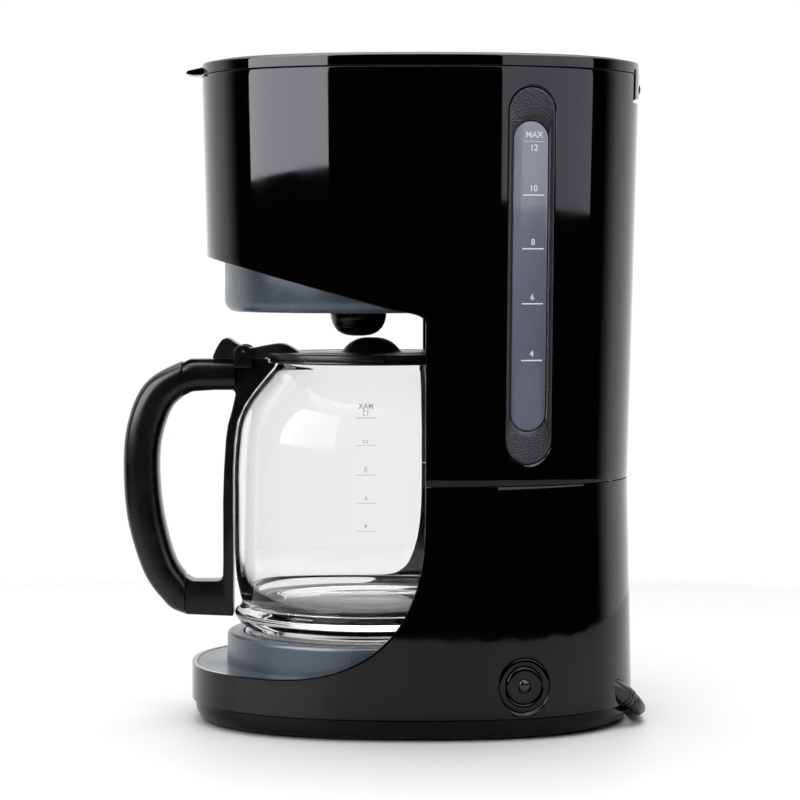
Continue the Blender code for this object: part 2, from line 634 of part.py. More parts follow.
def build_wires():
    """Insulated wires from the lead's entry to the switch and on to the heater."""
    to_switch = ((38, 80, 14.5), (44, 72, 13), (52, 62, 15), (56, 55, 21))
    to_heater = ((54, 38, 22), (50, 26, 16), (40, 6, 15), (22, -12, 21), (13, -20, 27))
    return [(tube("switch_wire", to_switch, 1.2, roundness=1), "wire_sheath"),
            (tube("heater_wire", to_heater, 1.2, roundness=1), "wire_sheath")]


# ---------------------------------------------------------------- carafe

def build_glass():
    """Blown glass jug, with a thick foot, a crease above it and shoulders up to the collar."""
    outside = [(0, 46.6), (46, 46.2), (54, 44.7), (60, 44.9), (65.5, 47), (69.5, 51.5), (70, 54), (66.6, 58),
               (68, 65), (69.7, 76), (70, 90), (70, 125), (69, 141.2), (67.5, 151), (64, 159), (59, 166.5),
               (53, 173.8), (48.5, 178.5), (46.8, 182.6)]
    inside = [(44.4, 182.6), (46.2, 177.6), (56.9, 165.0), (65.2, 149.8), (67.6, 124.6), (67.4, 80),
              (65.6, 65.3), (64.2, 57), (59, 50.6), (0, 49.6)]
    return lathe("carafe_glass", outside + inside, (0, CARAFE_Y), 32)


def strap_outline():
    """Side view of the carafe's strap: a tall C that follows the glass, with an arm at each end."""
    return ((-121.3, 180.8), (-116.4, 182.2), (-80.0, 182.2), (-78.8, 178.5), (-74.5, 178.5),
            (-78.5, 173.8), (-84.5, 166.5), (-89.7, 159.0), (-93.2, 151.0), (-94.7, 141.2), (-95.6, 125.0),
            (-95.6, 51.5), (-96.8, 51.5), (-120.0, 52.6), (-120.0, 71.0), (-115.6, 69.8), (-100.8, 69.3),
            (-100.6, 80.0), (-100.6, 110.6), (-100.1, 125.9), (-99.1, 141.2), (-98.1, 148.9),
            (-96.0, 156.5), (-94.0, 165.2), (-95.0, 167.1), (-104.8, 167.1), (-113.9, 166.1), (-121.3, 164.6))


def build_handle():
    """Strap, grip and the screw and pin that go with them."""
    strap = prism("handle_strap", strap_outline(), -STRAP_HALF_WIDTH, STRAP_HALF_WIDTH, "x")
    yoke = block("yoke", (-13, -94.5, 178.6), (13, -85.5, 182.2))
    for side in (-1, 1):
        inner, outer = sorted((side * 9.6, side * 13.0))
        combine(yoke, block("ear", (inner, -94.5, 181.0), (outer, -85.5, 190.0)), "UNION")
    combine(strap, yoke, "UNION")
    combine(strap, rod("ear_bore", (-20, -90, 187), (20, -90, 187), 1.5))
    combine(strap, rod("screw_bore", (0, -112, 50), (0, -112, 65), 1.9))
    combine(strap, rod("screw_seat", (0, -112, 50), (0, -112, 55), 3.6))
    screw = lathe("handle_screw", ((0, 53), (3.2, 53), (3.2, 54.7), (1.6, 54.7), (1.6, 64.5), (0, 64.5)),
                  (0, -112), 10)
    route = ((-112.7, 175.4, 8.0), (-121.7, 172.8, 8.2), (-133.6, 164.2, 9.3), (-140.2, 148.9, 9.4),
             (-142.5, 129.8, 9.2), (-140.6, 103.0, 9.4), (-133.5, 77.5, 9.0), (-124.6, 64.6, 8.9),
             (-120.4, 61.3, 8.7), (-111.4, 58.6, 8.5))
    line = smooth(route, 2)
    rings = []
    for i, (y, z, half) in enumerate(line):
        ahead = line[min(i + 1, len(line) - 1)] - line[max(i - 1, 0)]
        across = Vector((-ahead[1], ahead[0])).normalized()
        ring = []
        for k in range(12):
            x, off = superellipse(tau * k / 12, HANDLE_HALF_WIDTH, half, 3.0)
            ring.append((x, y + across[0] * off, z + across[1] * off))
        rings.append(ring)
    grip = loft("handle_grip", rings)
    combine(grip, block("upper_seam", (-20, -121.7, 120), (20, -90, 210)))
    combine(grip, block("lower_seam", (-20, -120.4, 30), (20, -90, 110)))
    return [(strap, "satin_black"), (grip, "satin_black"), (screw, "steel")]


def build_carafe_lid():
    """Carafe lid with its thumb lever, and the pin that joins it to the strap."""
    profile = [(0, 193.8), (6.1, 193.8), (10.5, 191.8), (13.6, 189.2), (15.1, 186.2), (52.7, 186.2),
               (53.5, 185.4), (53.5, 183.1), (44.0, 183.1), (44.0, 176.0), (42.5, 176.0), (42.5, 183.9),
               (13.0, 183.9), (11.6, 187.9), (9.0, 190.0), (4.0, 191.6), (0, 191.6)]
    lid = lathe("carafe_lid", profile, (0, CARAFE_Y), 32)
    lever = ((-105.7, 183.3), (-101.1, 193.0), (-97.2, 193.3), (-90.7, 189.4), (-85.5, 188.5), (-76.4, 190.1),
             (-68.6, 190.4), (-62.4, 187.1), (-60.0, 185.0), (-77.0, 184.0), (-80.0, 182.9), (-96.0, 182.9))
    combine(lid, prism("lever", lever, -9.0, 9.0, "x"), "UNION")
    combine(lid, rod("bore", (-20, -90, 187), (20, -90, 187), 1.3))
    pin = rod("carafe_lid_pin", (-12.6, -90, 187), (12.6, -90, 187), 1.0)
    collar = lathe("carafe_collar", ((48.8, 179.2), (53.0, 180.0), (53.0, 182.8), (47.4, 182.8)),
                   (0, CARAFE_Y), 32)
    return [(lid, "satin_black"), (pin, "steel"), (collar, "satin_black")]


# ---------------------------------------------------------------- mains lead

def relief_tip():
    """Point where the lead leaves its strain relief."""
    return Vector(CORD_EXIT) + Vector(CORD_DIRECTION).normalized() * RELIEF_LENGTH


def build_lead():
    """Strain relief, lead, its coil, and the plug that lies on the coil."""
    heading = Vector(CORD_DIRECTION).normalized()
    aim = Matrix.Translation(CORD_EXIT) @ heading.to_track_quat("Z", "Y").to_matrix().to_4x4()
    relief = lathe("strain_relief", ((0, -12), (4.6, -12), (4.9, -3), (4.9, 3), (4.2, RELIEF_LENGTH),
                                     (0, RELIEF_LENGTH)), segments=16, matrix=aim)
    tip = relief_tip() + heading * GAP
    coil_out = COIL_RADIUS + 2 * CORD_RADIUS
    outer = coil_out + CORD_RADIUS + 0.6
    meet = radians(84)
    route = (tip, tip + heading, tip + heading * 2, (31.8, 108.8, 10.0), (25.5, 110.3, 7.4), (19, 110.6, 5.7),
             (10, 110.4, 4.5), (0, 110.0, 3.9), (-10, 109.3, 3.8), (-23, 107.6, 3.8), (-38, 105.4, 3.8),
             (-54, 104.2, 3.8), (-70, 103.7, 3.8), (-88, 103.4, 3.8), (-106, 103.3, 3.8), (-124, 103.2, 3.8),
             (COIL_CENTRE[0] + outer * cos(meet), COIL_CENTRE[1] + outer * sin(meet), 3.8))
    cord = tube("power_cord", route, CORD_RADIUS, steps=2)
    top = COIL_BOTTOM_Z + 4 * CORD_RADIUS
    coil_in = COIL_RADIUS - 2 * CORD_RADIUS
    coil = lathe("cord_coil", ((coil_in, COIL_BOTTOM_Z), (coil_out, COIL_BOTTOM_Z), (coil_out, top),
                               (coil_in, top)), COIL_CENTRE, 28)
    plug_axis = Vector((0, cos(PLUG_TILT), sin(PLUG_TILT)))
    tail = Vector(PLUG_TAIL)
    above = top + GAP + CORD_RADIUS
    lead = ((-139, 16.5, above), (-130.5, 19.5, above), (-121.5, 25.0, above + 0.2), tail - plug_axis * 9,
            tail - plug_axis * 0.8)
    lead = tube("cord_lead", lead, CORD_RADIUS, steps=2)
    aim = Matrix.Translation(tail) @ plug_axis.to_track_quat("Z", "Y").to_matrix().to_4x4()
    profile = ((0, 0), (5.2, 0), (8.8, 8), (11.5, 20), (13.5, 29), (18.5, 34), (18.5, 44.8),
               (17.3, PLUG_LENGTH), (0, PLUG_LENGTH))
    plug = lathe("plug", profile, segments=16, matrix=aim)
    pieces = [(relief, "satin_black"), (cord, "satin_black"), (coil, "satin_black"), (lead, "satin_black"),
              (plug, "satin_black")]
    for number, side in enumerate((-1, 1), 1):
        start = tail + Vector((side * 9.5, 0, 0)) + plug_axis * (PLUG_LENGTH + GAP)
        pieces.append((rod(f"plug_pin_{number}", start, start + plug_axis * 19, 2.4), "brass"))
    return pieces


# ---------------------------------------------------------------- assembly

def main():
    clear_scene()
    materials = make_materials()
    machine = pivot("machine")
    machine.location = Vector((0, BODY_SHIFT, 0)) * MM
    lid_parts, hinge_parts = build_lid()
    fixed_switch, moving_switch = build_switch()
    water_path = build_water_path()
    ball = [pair for pair in water_path if pair[0].name == "check_ball"]
    fixed = build_bottom() + build_heater() + build_gauge() + build_filter_parts()
    fixed += [pair for pair in water_path if pair not in ball]
    fixed += hinge_parts + fixed_switch + build_wires() + build_lead()
    fixed += [
        (build_lower_housing(), "gloss_black"),
        (build_deck(), "slate_grey"),
        (build_upper_housing(), "gloss_black"),
        (build_column_panel(), "slate_grey"),
        (build_basket_housing(), "slate_grey"),
        (build_drip_spring(), "steel"),
        (build_tank(), "tank_plastic"),
        (build_top_frame(), "slate_grey"),
    ]
    hang(fixed, machine, materials)
    hang(lid_parts, pivot("lid_hinge_axis", machine, (0, HINGE_Y, HINGE_Z)), materials)
    hang(moving_switch, pivot("button_axis", machine, side_frame(BUTTON_Y, BUTTON_Z, 0).translation), materials)
    hang(ball, pivot("check_ball_axis", machine, (37, 85, 122.6)), materials)
    valve = [(build_drip_valve(), "satin_black")]
    hang(valve, pivot("drip_stop_axis", machine, (0, FILTER_Y, 200)), materials)
    carafe = [(build_glass(), "clear_glass")] + build_carafe_lid() + build_handle()
    hang(carafe, pivot("carafe_axis", machine, (0, CARAFE_Y, 44.6)), materials)


main()
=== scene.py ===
"""Looks of the drip coffee maker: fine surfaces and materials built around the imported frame.

Shapes are given in millimetres in the housing's own frame, whose Y axis starts at the middle of the
upper housing's oval. spot() turns such a point into the frame's metres.
"""

import json
from math import asin, atan2, copysign, cos, hypot, pi, radians, sin, sqrt, tau

import bmesh
import bpy
from mathutils import Matrix, Vector


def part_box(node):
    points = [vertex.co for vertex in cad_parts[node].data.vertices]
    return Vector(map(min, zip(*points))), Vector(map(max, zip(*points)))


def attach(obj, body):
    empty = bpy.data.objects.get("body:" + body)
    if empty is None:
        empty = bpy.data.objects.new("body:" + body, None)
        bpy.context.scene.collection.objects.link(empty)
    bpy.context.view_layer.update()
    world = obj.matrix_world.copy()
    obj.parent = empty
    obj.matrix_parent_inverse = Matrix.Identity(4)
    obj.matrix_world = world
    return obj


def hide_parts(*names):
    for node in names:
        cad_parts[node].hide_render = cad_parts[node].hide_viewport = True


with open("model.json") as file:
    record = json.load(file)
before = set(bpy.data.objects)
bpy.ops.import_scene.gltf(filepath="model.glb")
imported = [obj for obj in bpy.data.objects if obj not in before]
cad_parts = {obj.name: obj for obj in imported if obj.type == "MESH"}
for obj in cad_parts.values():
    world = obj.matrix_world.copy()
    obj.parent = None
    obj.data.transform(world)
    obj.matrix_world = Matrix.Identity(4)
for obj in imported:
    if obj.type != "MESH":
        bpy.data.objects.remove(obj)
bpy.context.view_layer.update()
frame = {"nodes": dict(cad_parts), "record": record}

MM = 0.001
CLEARANCE = 0.3
HALF_SEAM = 0.15


def middle(node):
    low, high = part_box(node)
    return (low + high) / 2 / MM


CARAFE_Y = -25.0
SHIFT = middle("carafe_glass").y - CARAFE_Y
FILTER_Y = middle("drip_stop_valve").y - SHIFT
WAIST_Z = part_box("lower_housing")[1].z / MM + HALF_SEAM
BASE_SEAM_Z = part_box("lower_housing")[0].z / MM
LID_SEAM_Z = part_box("upper_housing")[1].z / MM
DECK_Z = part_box("column_panel")[0].z / MM - CLEARANCE
GAUGE_Y = middle("gauge_window").y - SHIFT
GAUGE_Z = middle("gauge_window").z
BUTTON_Y = middle("power_button").y - SHIFT
BUTTON_Z = middle("power_button").z
HINGE_Z = middle("lid_hinge_pin").z
HINGE_Y = middle("lid_hinge_pin").y - SHIFT

# Plan of the housings, as the CAD part has it
OVAL_POWER = 2.35
WAIST_DEPTH = 105.65
WAIST_WIDTH = 86.35
LOWER_FRONT = 116.8
UPPER_TAPER = 0.0255
LOWER_TAPER = 0.0209
PLAN_STEPS = 192
WALL = 2.8
COLUMN_FRONT_Y = 2.0
DECK_RIM_Z = 28.7
SWEEP_CENTRE = (-84, 115)
SWEEP_REACH = (86, 86.3)
SWEEP_POWER = 2.7
HEAD_EDGE = (
    (-130, 240.9), (-13.2, 208.5), (-10, 208), (-6.8, 207.6), (-4.4, 207.1), (-2, 206.4), (-0.6, 205.8), (0.5, 205),
    (1.4, 204.1), (COLUMN_FRONT_Y, 202.8)
)

# Camera, at the height and the distance from which the machine is seen
CAMERA_DISTANCE = 1.42
CAMERA_HEIGHT = 0.231
CAMERA_AIM = (-10.35, 161.6)
CAMERA_LENS = 125.0

# Floor, which fades out before the camera sees its edge, and the bright part of the surroundings
FLOOR_RADIUS = 2.0
FLOOR_DROP = 0.0002
FLOOR_FADE = (0.66, 0.69)
FLOOR_RAGGED = 0.1
BACKDROP_FADE = (-0.12, -0.5)
BACKDROP_POWER = 1.3
SMOOTH_FADE = ("interpolation_type", "SMOOTHSTEP")

FOOT_PLACES = ((-43, -62), (43, -62), (-39, 62), (39, 62))
SCREW_INSET = 15.0
ALCOVE_RADIUS = 75.0
GRIP_HALF_WIDTH = 11.5
ARM_HALF_WIDTH = 9.8


# ---------------------------------------------------------------- points and meshes

def spot(x, y, z):
    """Point of the housing's frame, in millimetres, as the frame's metres."""
    return Vector((x, y + SHIFT, z)) * MM


def place_object(name, data):
    piece = bpy.data.objects.new(name, data)
    bpy.context.scene.collection.objects.link(piece)
    return piece


def to_mesh(name, shape):
    """Turn a bmesh into a mesh and free it."""
    mesh = bpy.data.meshes.new(name)
    shape.to_mesh(mesh)
    shape.free()
    return mesh


def shade(mesh, smooth_angle):
    """Smooth shading, with edges kept sharp above an angle in degrees."""
    mesh.shade_smooth()
    mesh.set_sharp_from_angle(angle=radians(smooth_angle))


def finish_mesh(name, shape, smooth_angle=35, matrix=None):
    """Object from a bmesh whose points are in millimetres of the housing's frame, or of matrix's axes in it."""
    if matrix is not None:
        bmesh.ops.transform(shape, matrix=matrix, verts=shape.verts)
    for vertex in shape.verts:
        vertex.co = spot(*vertex.co)
    bmesh.ops.recalc_face_normals(shape, faces=shape.faces)
    mesh = to_mesh(name, shape)
    shade(mesh, smooth_angle)
    return place_object(name, mesh)


def loft(name, rings, matrix=None, smooth_angle=35):
    """Skin rings of equal length into one closed solid with flat ends."""
    shape = bmesh.new()
    loops = [[shape.verts.new(Vector(point)) for point in ring] for ring in rings]
    for lower, upper in zip(loops, loops[1:]):
        for i in range(len(lower)):
            j = (i + 1) % len(lower)
            shape.faces.new((lower[i], lower[j], upper[j], upper[i]))
    shape.faces.new(loops[0][::-1])
    shape.faces.new(loops[-1])
    return finish_mesh(name, shape, smooth_angle, matrix)


def lathe(name, profile, centre=(0, 0), segments=96, matrix=None, smooth_angle=35):
    """Turn a closed outline of (radius, height) points about an upright axis."""
    shape = bmesh.new()
    turns = [tau * i / segments for i in range(segments)]
    rings = []
    for radius, height in profile:
        if radius < 1e-6:
            rings.append([shape.verts.new((*centre, height))] * segments)
        else:
            rings.append([shape.verts.new((centre[0] + radius * cos(turn), centre[1] + radius * sin(turn), height))
                          for turn in turns])
    for first, second in zip(rings, rings[1:] + rings[:1]):
        for i in range(segments):
            j = (i + 1) % segments
            corners = list(dict.fromkeys((first[i], first[j], second[j], second[i])))
            if len(corners) > 2:
                shape.faces.new(corners)
    return finish_mesh(name, shape, smooth_angle, matrix)


def prism(name, outline, low, high, axis="z"):
    """Extrude a flat outline along the upright axis, or an outline of (y, z) points along x."""
    rings = [[(level, a, b) if axis == "x" else (a, b, level) for a, b in outline] for level in (low, high)]
    return loft(name, rings)


def block(name, low, high):
    outline = ((low[0], low[1]), (high[0], low[1]), (high[0], high[1]), (low[0], high[1]))
    return prism(name, outline, low[2], high[2])


def aimed(place, direction):
    """Axes at a place, with Z along a direction."""
    return Matrix.Translation(place) @ Vector(direction).to_track_quat("Z", "Y").to_matrix().to_4x4()


def rod(name, start, end, radius, segments=48, bevel=0):
    """Straight round bar between two points, with chamfered ends."""
    along = Vector(end) - Vector(start)
    length = along.length
    outline = [(0, 0), (radius - bevel, 0), (radius - bevel, length), (0, length)]
    if bevel:
        outline[2:2] = [(radius, bevel), (radius, length - bevel)]
    return lathe(name, outline, segments=segments, matrix=aimed(start, along))


def evaluated_mesh(piece):
    """New mesh of a piece as its modifiers or its curve make it."""
    graph = bpy.context.evaluated_depsgraph_get()
    return bpy.data.meshes.new_from_object(piece.evaluated_get(graph))


def settle(piece, smooth_angle=35):
    """Replace a piece's mesh by the result of its modifiers."""
    mesh = evaluated_mesh(piece)
    piece.modifiers.clear()
    piece.data = mesh
    shade(mesh, smooth_angle)
    return piece


def combine(target, tool, operation="DIFFERENCE"):
    """Apply a Boolean of tool to target and remove the tool."""
    change = target.modifiers.new("change", "BOOLEAN")
    change.object = tool
    change.operation = operation
    settle(target)
    bpy.data.objects.remove(tool)


def soften(piece, width, segments=3, angle=40):
    """Round the sharp edges of a piece by a width in millimetres."""
    bevel = piece.modifiers.new("soften", "BEVEL")
    bevel.width = width * MM
    bevel.segments = segments
    bevel.limit_method = "ANGLE"
    bevel.angle_limit = radians(angle)
    bevel.miter_outer = "MITER_ARC"
    return settle(piece)


def steps(low, high, count):
    """Evenly spaced values from low to high."""
    return [low + (high - low) * i / count for i in range(count + 1)]


def smooth(points, count):
    """Points along a Catmull-Rom curve through the given points, with a count of steps between two of them."""
    spots = [Vector(point) for point in points]
    spots = [2 * spots[0] - spots[1]] + spots + [2 * spots[-1] - spots[-2]]
    curve = []
    for before, start, end, after in zip(spots, spots[1:], spots[2:], spots[3:]):
        for t in steps(0, 1, count)[:-1]:
            bend = (end - before) * t
            bend += (2 * before - 5 * start + 4 * end - after) * t * t
            bend += (3 * start - before - 3 * end + after) * t * t * t
            curve.append(tuple(start + bend / 2))
    return [*curve, tuple(spots[-2])]


def tube(name, points, radius, roundness):
    """Round tube along points given in the housing's frame."""
    curve = bpy.data.curves.new(name, "CURVE")
    curve.dimensions = "3D"
    curve.bevel_depth = radius * MM
    curve.bevel_resolution = roundness
    curve.use_fill_caps = True
    spline = curve.splines.new("POLY")
    spline.points.add(len(points) - 1)
    for point, place in zip(spline.points, points):
        point.co = (*spot(*place), 1)
    spline.use_smooth = True
    return place_object(name, curve)


def superellipse(angle, width, depth, power=OVAL_POWER):
    """Point of a squared oval at a plan angle."""
    x = width * copysign(abs(cos(angle)) ** (2 / power), cos(angle))
    y = depth * copysign(abs(sin(angle)) ** (2 / power), sin(angle))
    return x, y


def stadium(width, height):
    """Upright outline with round ends."""
    radius = width / 2
    straight = height / 2 - radius
    upper = [(radius * cos(turn), straight + radius * sin(turn)) for turn in steps(0, pi, 40)]
    return upper + [(-x, -z) for x, z in upper]


def plan(z):
    """Front depth, rear depth and half width of the housing's outside at a height."""
    if z > WAIST_Z:
        grow = UPPER_TAPER * (z - WAIST_Z)
        return WAIST_DEPTH + grow, WAIST_DEPTH + grow, WAIST_WIDTH + grow
    grow = LOWER_TAPER * (WAIST_Z - z)
    return LOWER_FRONT, WAIST_DEPTH + grow, WAIST_WIDTH + grow


def oval(width, front, rear, *height):
    """Outline in plan, from the +X side round the rear. A height makes it a ring of points."""
    turns = [tau * i / PLAN_STEPS for i in range(PLAN_STEPS)]
    return [(*superellipse(turn, width, rear if turn < pi else front), *height) for turn in turns]


def upper_ring(z, inset=0):
    """Outline of the upper housing at a height, carried on past the seam."""
    grow = UPPER_TAPER * (z - WAIST_Z) - inset
    return oval(WAIST_WIDTH + grow, WAIST_DEPTH + grow, WAIST_DEPTH + grow, z)


def lower_ring(z, inset=0):
    """Outline of the lower housing at a height."""
    grow = LOWER_TAPER * (WAIST_Z - z) - inset
    return oval(WAIST_WIDTH + grow, LOWER_FRONT - inset, WAIST_DEPTH + grow, z)


def side_frame(y, z, taper):
    """Axes on the +X wall: along the wall, up the wall and out of it, at a place on its surface."""
    _, depth, width = plan(z)
    x = width * (1 - (y / depth) ** OVAL_POWER) ** (1 / OVAL_POWER)
    slope_x = (x / width) ** (OVAL_POWER - 1) / width
    slope_y = (y / depth) ** (OVAL_POWER - 1) / depth
    out = Vector((slope_x, slope_y, -taper * hypot(slope_x, slope_y))).normalized()
    along = Vector((0, 0, 1)).cross(out).normalized()
    up = out.cross(along)
    return Matrix.Translation((x, y, z)) @ Matrix((along, up, out)).transposed().to_4x4()


def interpolate(table, value):
    """Read a table of (key, result) pairs at a key, on straight lines."""
    for (low, first), (high, second) in zip(table, table[1:]):
        if value <= high:
            return first + (second - first) * (value - low) / (high - low)
    return table[-1][1]


def fillet(corners, radius):
    """Round every corner of a closed outline that bends by more than a few degrees."""
    outline = []
    total = len(corners)
    for i in range(total):
        before, corner, after = (Vector(corners[(i + k) % total]) for k in (-1, 0, 1))
        back, ahead = before - corner, after - corner
        turn = pi - back.angle(ahead, pi)
        if turn < radians(12):
            outline.append(tuple(corner))
            continue
        reach = min(radius * turn / 2, back.length * 0.45, ahead.length * 0.45)
        start, end = corner + back.normalized() * reach, corner + ahead.normalized() * reach
        for t in steps(0, 1, 6):
            outline.append(tuple(start * (1 - t) ** 2 + corner * 2 * t * (1 - t) + end * t * t))
    return outline


# ---------------------------------------------------------------- materials

def connect(tree, node, *values, **named):
    """Fill a node's inputs in order and by name, with _ for a space: outputs are linked, plain values set."""
    named = {name.replace("_", " "): value for name, value in named.items()}
    for key, value in (*enumerate(values), *named.items()):
        if isinstance(value, bpy.types.NodeSocket):
            tree.links.new(value, node.inputs[key])
        else:
            node.inputs[key].default_value = value
    return node


def add_node(tree, kind, *values, setting=None, **named):
    """New shader node. setting is the name and the value of a property, set before its inputs are filled."""
    node = tree.nodes.new("ShaderNode" + kind)
    if setting:
        setattr(node, *setting)
    return connect(tree, node, *values, **named)


def principled(name, colour, roughness, **sockets):
    """New material whose plain values sit on the shader's own sockets."""
    material = bpy.data.materials.new(name)
    material.use_nodes = True
    tree = material.node_tree
    shader = connect(tree, tree.nodes["Principled BSDF"], Base_Color=(*colour, 1), Roughness=roughness, **sockets)
    return material, tree, shader


def own_place(tree):
    """The object's own coordinates, which are the frame's metres."""
    return add_node(tree, "TexCoord").outputs["Object"]


def noise(tree, scale, detail):
    """Noise over the object's own coordinates, in turns per metre."""
    return add_node(tree, "TexNoise", Vector=own_place(tree), Scale=scale, Detail=detail).outputs["Fac"]


def polish(tree, shader, source, low, high):
    """Vary the roughness from low to high over a texture's middle range."""
    spread = add_node(tree, "MapRange", source, 0.3, 0.7, low, high)
    connect(tree, shader, Roughness=spread.outputs["Result"])


def tint(tree, shader, source, first, second):
    """Blend two colours by a texture, for the small unevenness that a moulded colour has."""
    mix = add_node(tree, "Mix", setting=("data_type", "RGBA"), Factor=source, A=(*first, 1), B=(*second, 1))
    connect(tree, shader, Base_Color=mix.outputs["Result"])


def bump(tree, shader, source, depth, **before):
    """Relief of a depth in metres, on top of an earlier one's Normal."""
    node = add_node(tree, "Bump", Height=source, Distance=depth, Strength=1, **before)
    connect(tree, shader, Normal=node.outputs["Normal"])
    return node


MATERIALS = {}


def surface(name, colour, roughness, cloud=None, shine=None, tints=None, relief=None, **sockets):
    """Material with a cloudy texture that varies its shine and its colour, over a fine relief.

    cloud is the texture's scale and detail, shine the range of roughness and tints the two colours.
    relief is the depth of the bumps, after the scale and detail of a texture of their own if they have one.
    """
    MATERIALS[name], tree, shader = principled(name, colour, roughness, **sockets)
    source = noise(tree, *cloud) if cloud else None
    if shine:
        polish(tree, shader, source, *shine)
    if tints:
        tint(tree, shader, source, *tints)
    if relief:
        *own, depth = relief
        bump(tree, shader, noise(tree, *own) if own else source, depth)


def textured_black():
    """Coarse leather-like mould grain of the gauge's frame."""
    MATERIALS["textured_black"], tree, shader = principled("textured_black", (0.004, 0.004, 0.0045), 0.3)
    cells = add_node(tree, "TexVoronoi", Vector=own_place(tree), Scale=1500)
    coarse = bump(tree, shader, cells.outputs["Distance"], 0.00014)
    bump(tree, shader, noise(tree, 3000, 2), 0.00004, Normal=coarse.outputs["Normal"])


def gauge_glazing():
    """Smoky window of the water gauge, with painted shading: paler above a step near the top and darkening downwards.
    """
    MATERIALS["gauge_glazing"], tree, shader = principled("gauge_glazing", (0.25, 0.28, 0.35), 0.16,
                                                          Specular_IOR_Level=0.35)
    split = add_node(tree, "SeparateXYZ", own_place(tree))
    height = add_node(tree, "MapRange", split.outputs["Z"], 0.15, 0.31)
    ramp = add_node(tree, "ValToRGB", height.outputs["Result"])
    # Painted shading: colours set by height, from a dark bottom up to a paler band above the step
    levels = ((0, (0.11, 0.12, 0.175)), (0.55, (0.18, 0.195, 0.265)), (0.665, (0.19, 0.205, 0.275)),
              (0.685, (0.25, 0.275, 0.325)), (1, (0.26, 0.285, 0.33)))
    for number, (place, colour) in enumerate(levels):
        stop = ramp.color_ramp.elements[number] if number < 2 else ramp.color_ramp.elements.new(place)
        stop.position, stop.color = place, (*colour, 1)
    connect(tree, shader, Base_Color=ramp.outputs["Color"])
    polish(tree, shader, noise(tree, 120, 3), 0.12, 0.22)
    bump(tree, shader, noise(tree, 40, 1), 0.0001)


# Polished housing: a little haze in the gloss and faint flow waves
surface("gloss_black", (0.0009, 0.0009, 0.001), 0.04, (60, 4), (0.022, 0.045), None, (14, 1, 0.00005),
        Specular_IOR_Level=0.22)
# Handle, with a fine spark-eroded grain
surface("satin_black", (0.003, 0.003, 0.003), 0.24, (90, 4), (0.2, 0.3),
        ((0.0014, 0.0014, 0.0015), (0.0026, 0.0026, 0.0027)), (2600, 2, 0.00002), Specular_IOR_Level=0.25)
# Base cover, duller than the housing
surface("base_black", (0.0012, 0.0012, 0.0012), 0.16, (60, 3), (0.12, 0.22),
        ((0.001, 0.001, 0.001), (0.0018, 0.0018, 0.0019)), (2200, 2, 0.00001), Specular_IOR_Level=0.1)
# Carafe's lid, a softer, slightly brown black
surface("lid_black", (0.004, 0.0035, 0.0032), 0.26, (70, 4), (0.24, 0.36),
        ((0.003, 0.0026, 0.0024), (0.005, 0.0043, 0.004)), (1900, 2, 0.00002), Specular_IOR_Level=0.3)
# Satin top of the machine's lid
surface("panel_black", (0.006, 0.006, 0.0062), 0.4, (1500, 2), (0.34, 0.46),
        ((0.005, 0.005, 0.0052), (0.008, 0.008, 0.0082)), (0.00002,), Specular_IOR_Level=0.5)
textured_black()
# Blue-grey satin of the drum, the deck and the column's panel
surface("slate_grey", (0.066, 0.084, 0.1), 0.32, (35, 4), (0.26, 0.36),
        ((0.054, 0.074, 0.093), (0.064, 0.087, 0.109)), (2400, 2, 0.00002))
surface("clear_glass", (0.916, 0.92, 0.919), 0, relief=(18, 1, 0.00012), Transmission_Weight=1, IOR=1.47,
        Specular_Tint=(0.1, 0.1, 0.1, 1))
gauge_glazing()
surface("printed_white", (0.94, 0.95, 0.97), 0.4, (900, 3), tints=((0.9, 0.91, 0.93), (0.97, 0.98, 0.99)))
# Ceramic ink of the carafe's marks
surface("printed_grey", (0.86, 0.86, 0.87), 0.6, (900, 3), tints=((0.82, 0.82, 0.83), (0.9, 0.9, 0.91)),
        Transmission_Weight=0.85)
surface("tank_plastic", (0.42, 0.48, 0.54), 0.22, (50, 3), (0.16, 0.3), ((0.38, 0.44, 0.5), (0.46, 0.52, 0.58)),
        Transmission_Weight=0.45, IOR=1.49)
# Dark non-stick coating with fine speckles
surface("plate_coating", (0.03, 0.03, 0.031), 0.14, (1400, 3), None,
        ((0.022, 0.022, 0.023), (0.05, 0.05, 0.052)), (0.00001,))
# Bare metals with an uneven polish
for name, colour, shine in (
    ("aluminium", (0.6, 0.61, 0.62), (0.3, 0.45)),
    ("steel", (0.55, 0.55, 0.56), (0.2, 0.32)),
    ("brass", (0.75, 0.58, 0.3), (0.22, 0.35)),
    ("nickel", (0.66, 0.64, 0.6), (0.14, 0.24)),
):
    surface(name, colour, shine[0], (500, 4), shine, None, (0.00001,), Metallic=1)
# Rubber, silicone and vinyl: an even colour with a soft sheen and a fine skin
for name, colour, shine, scale, depth in (
    ("silicone", (0.66, 0.64, 0.58), (0.45, 0.6), 400, 0.00003),
    ("rubber", (0.016, 0.016, 0.016), (0.65, 0.85), 900, 0.00005),
    ("clear_plastic", (0.7, 0.73, 0.75), (0.12, 0.22), 200, 0.00002),
    ("indicator", (0.006, 0.006, 0.008), (0.05, 0.1), 300, 0.00001),
    ("wire_sheath", (0.5, 0.04, 0.03), (0.35, 0.5), 600, 0.00002),
    ("cord_black", (0.011, 0.011, 0.012), (0.26, 0.38), 700, 0.00002),
):
    shades = [tuple(share * channel for channel in colour) for share in (0.85, 1.15)]
    surface(name, colour, shine[0], (scale, 3), shine, shades, (depth,))


def dress(piece, material, *nodes, body="machine"):
    """Give a piece its material, the body it rides on and the CAD nodes that it stands for."""
    piece.data.materials.clear()
    piece.data.materials.append(MATERIALS[material])
    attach(piece, body)
    if nodes:
        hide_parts(*nodes)
    return piece


# ---------------------------------------------------------------- stage

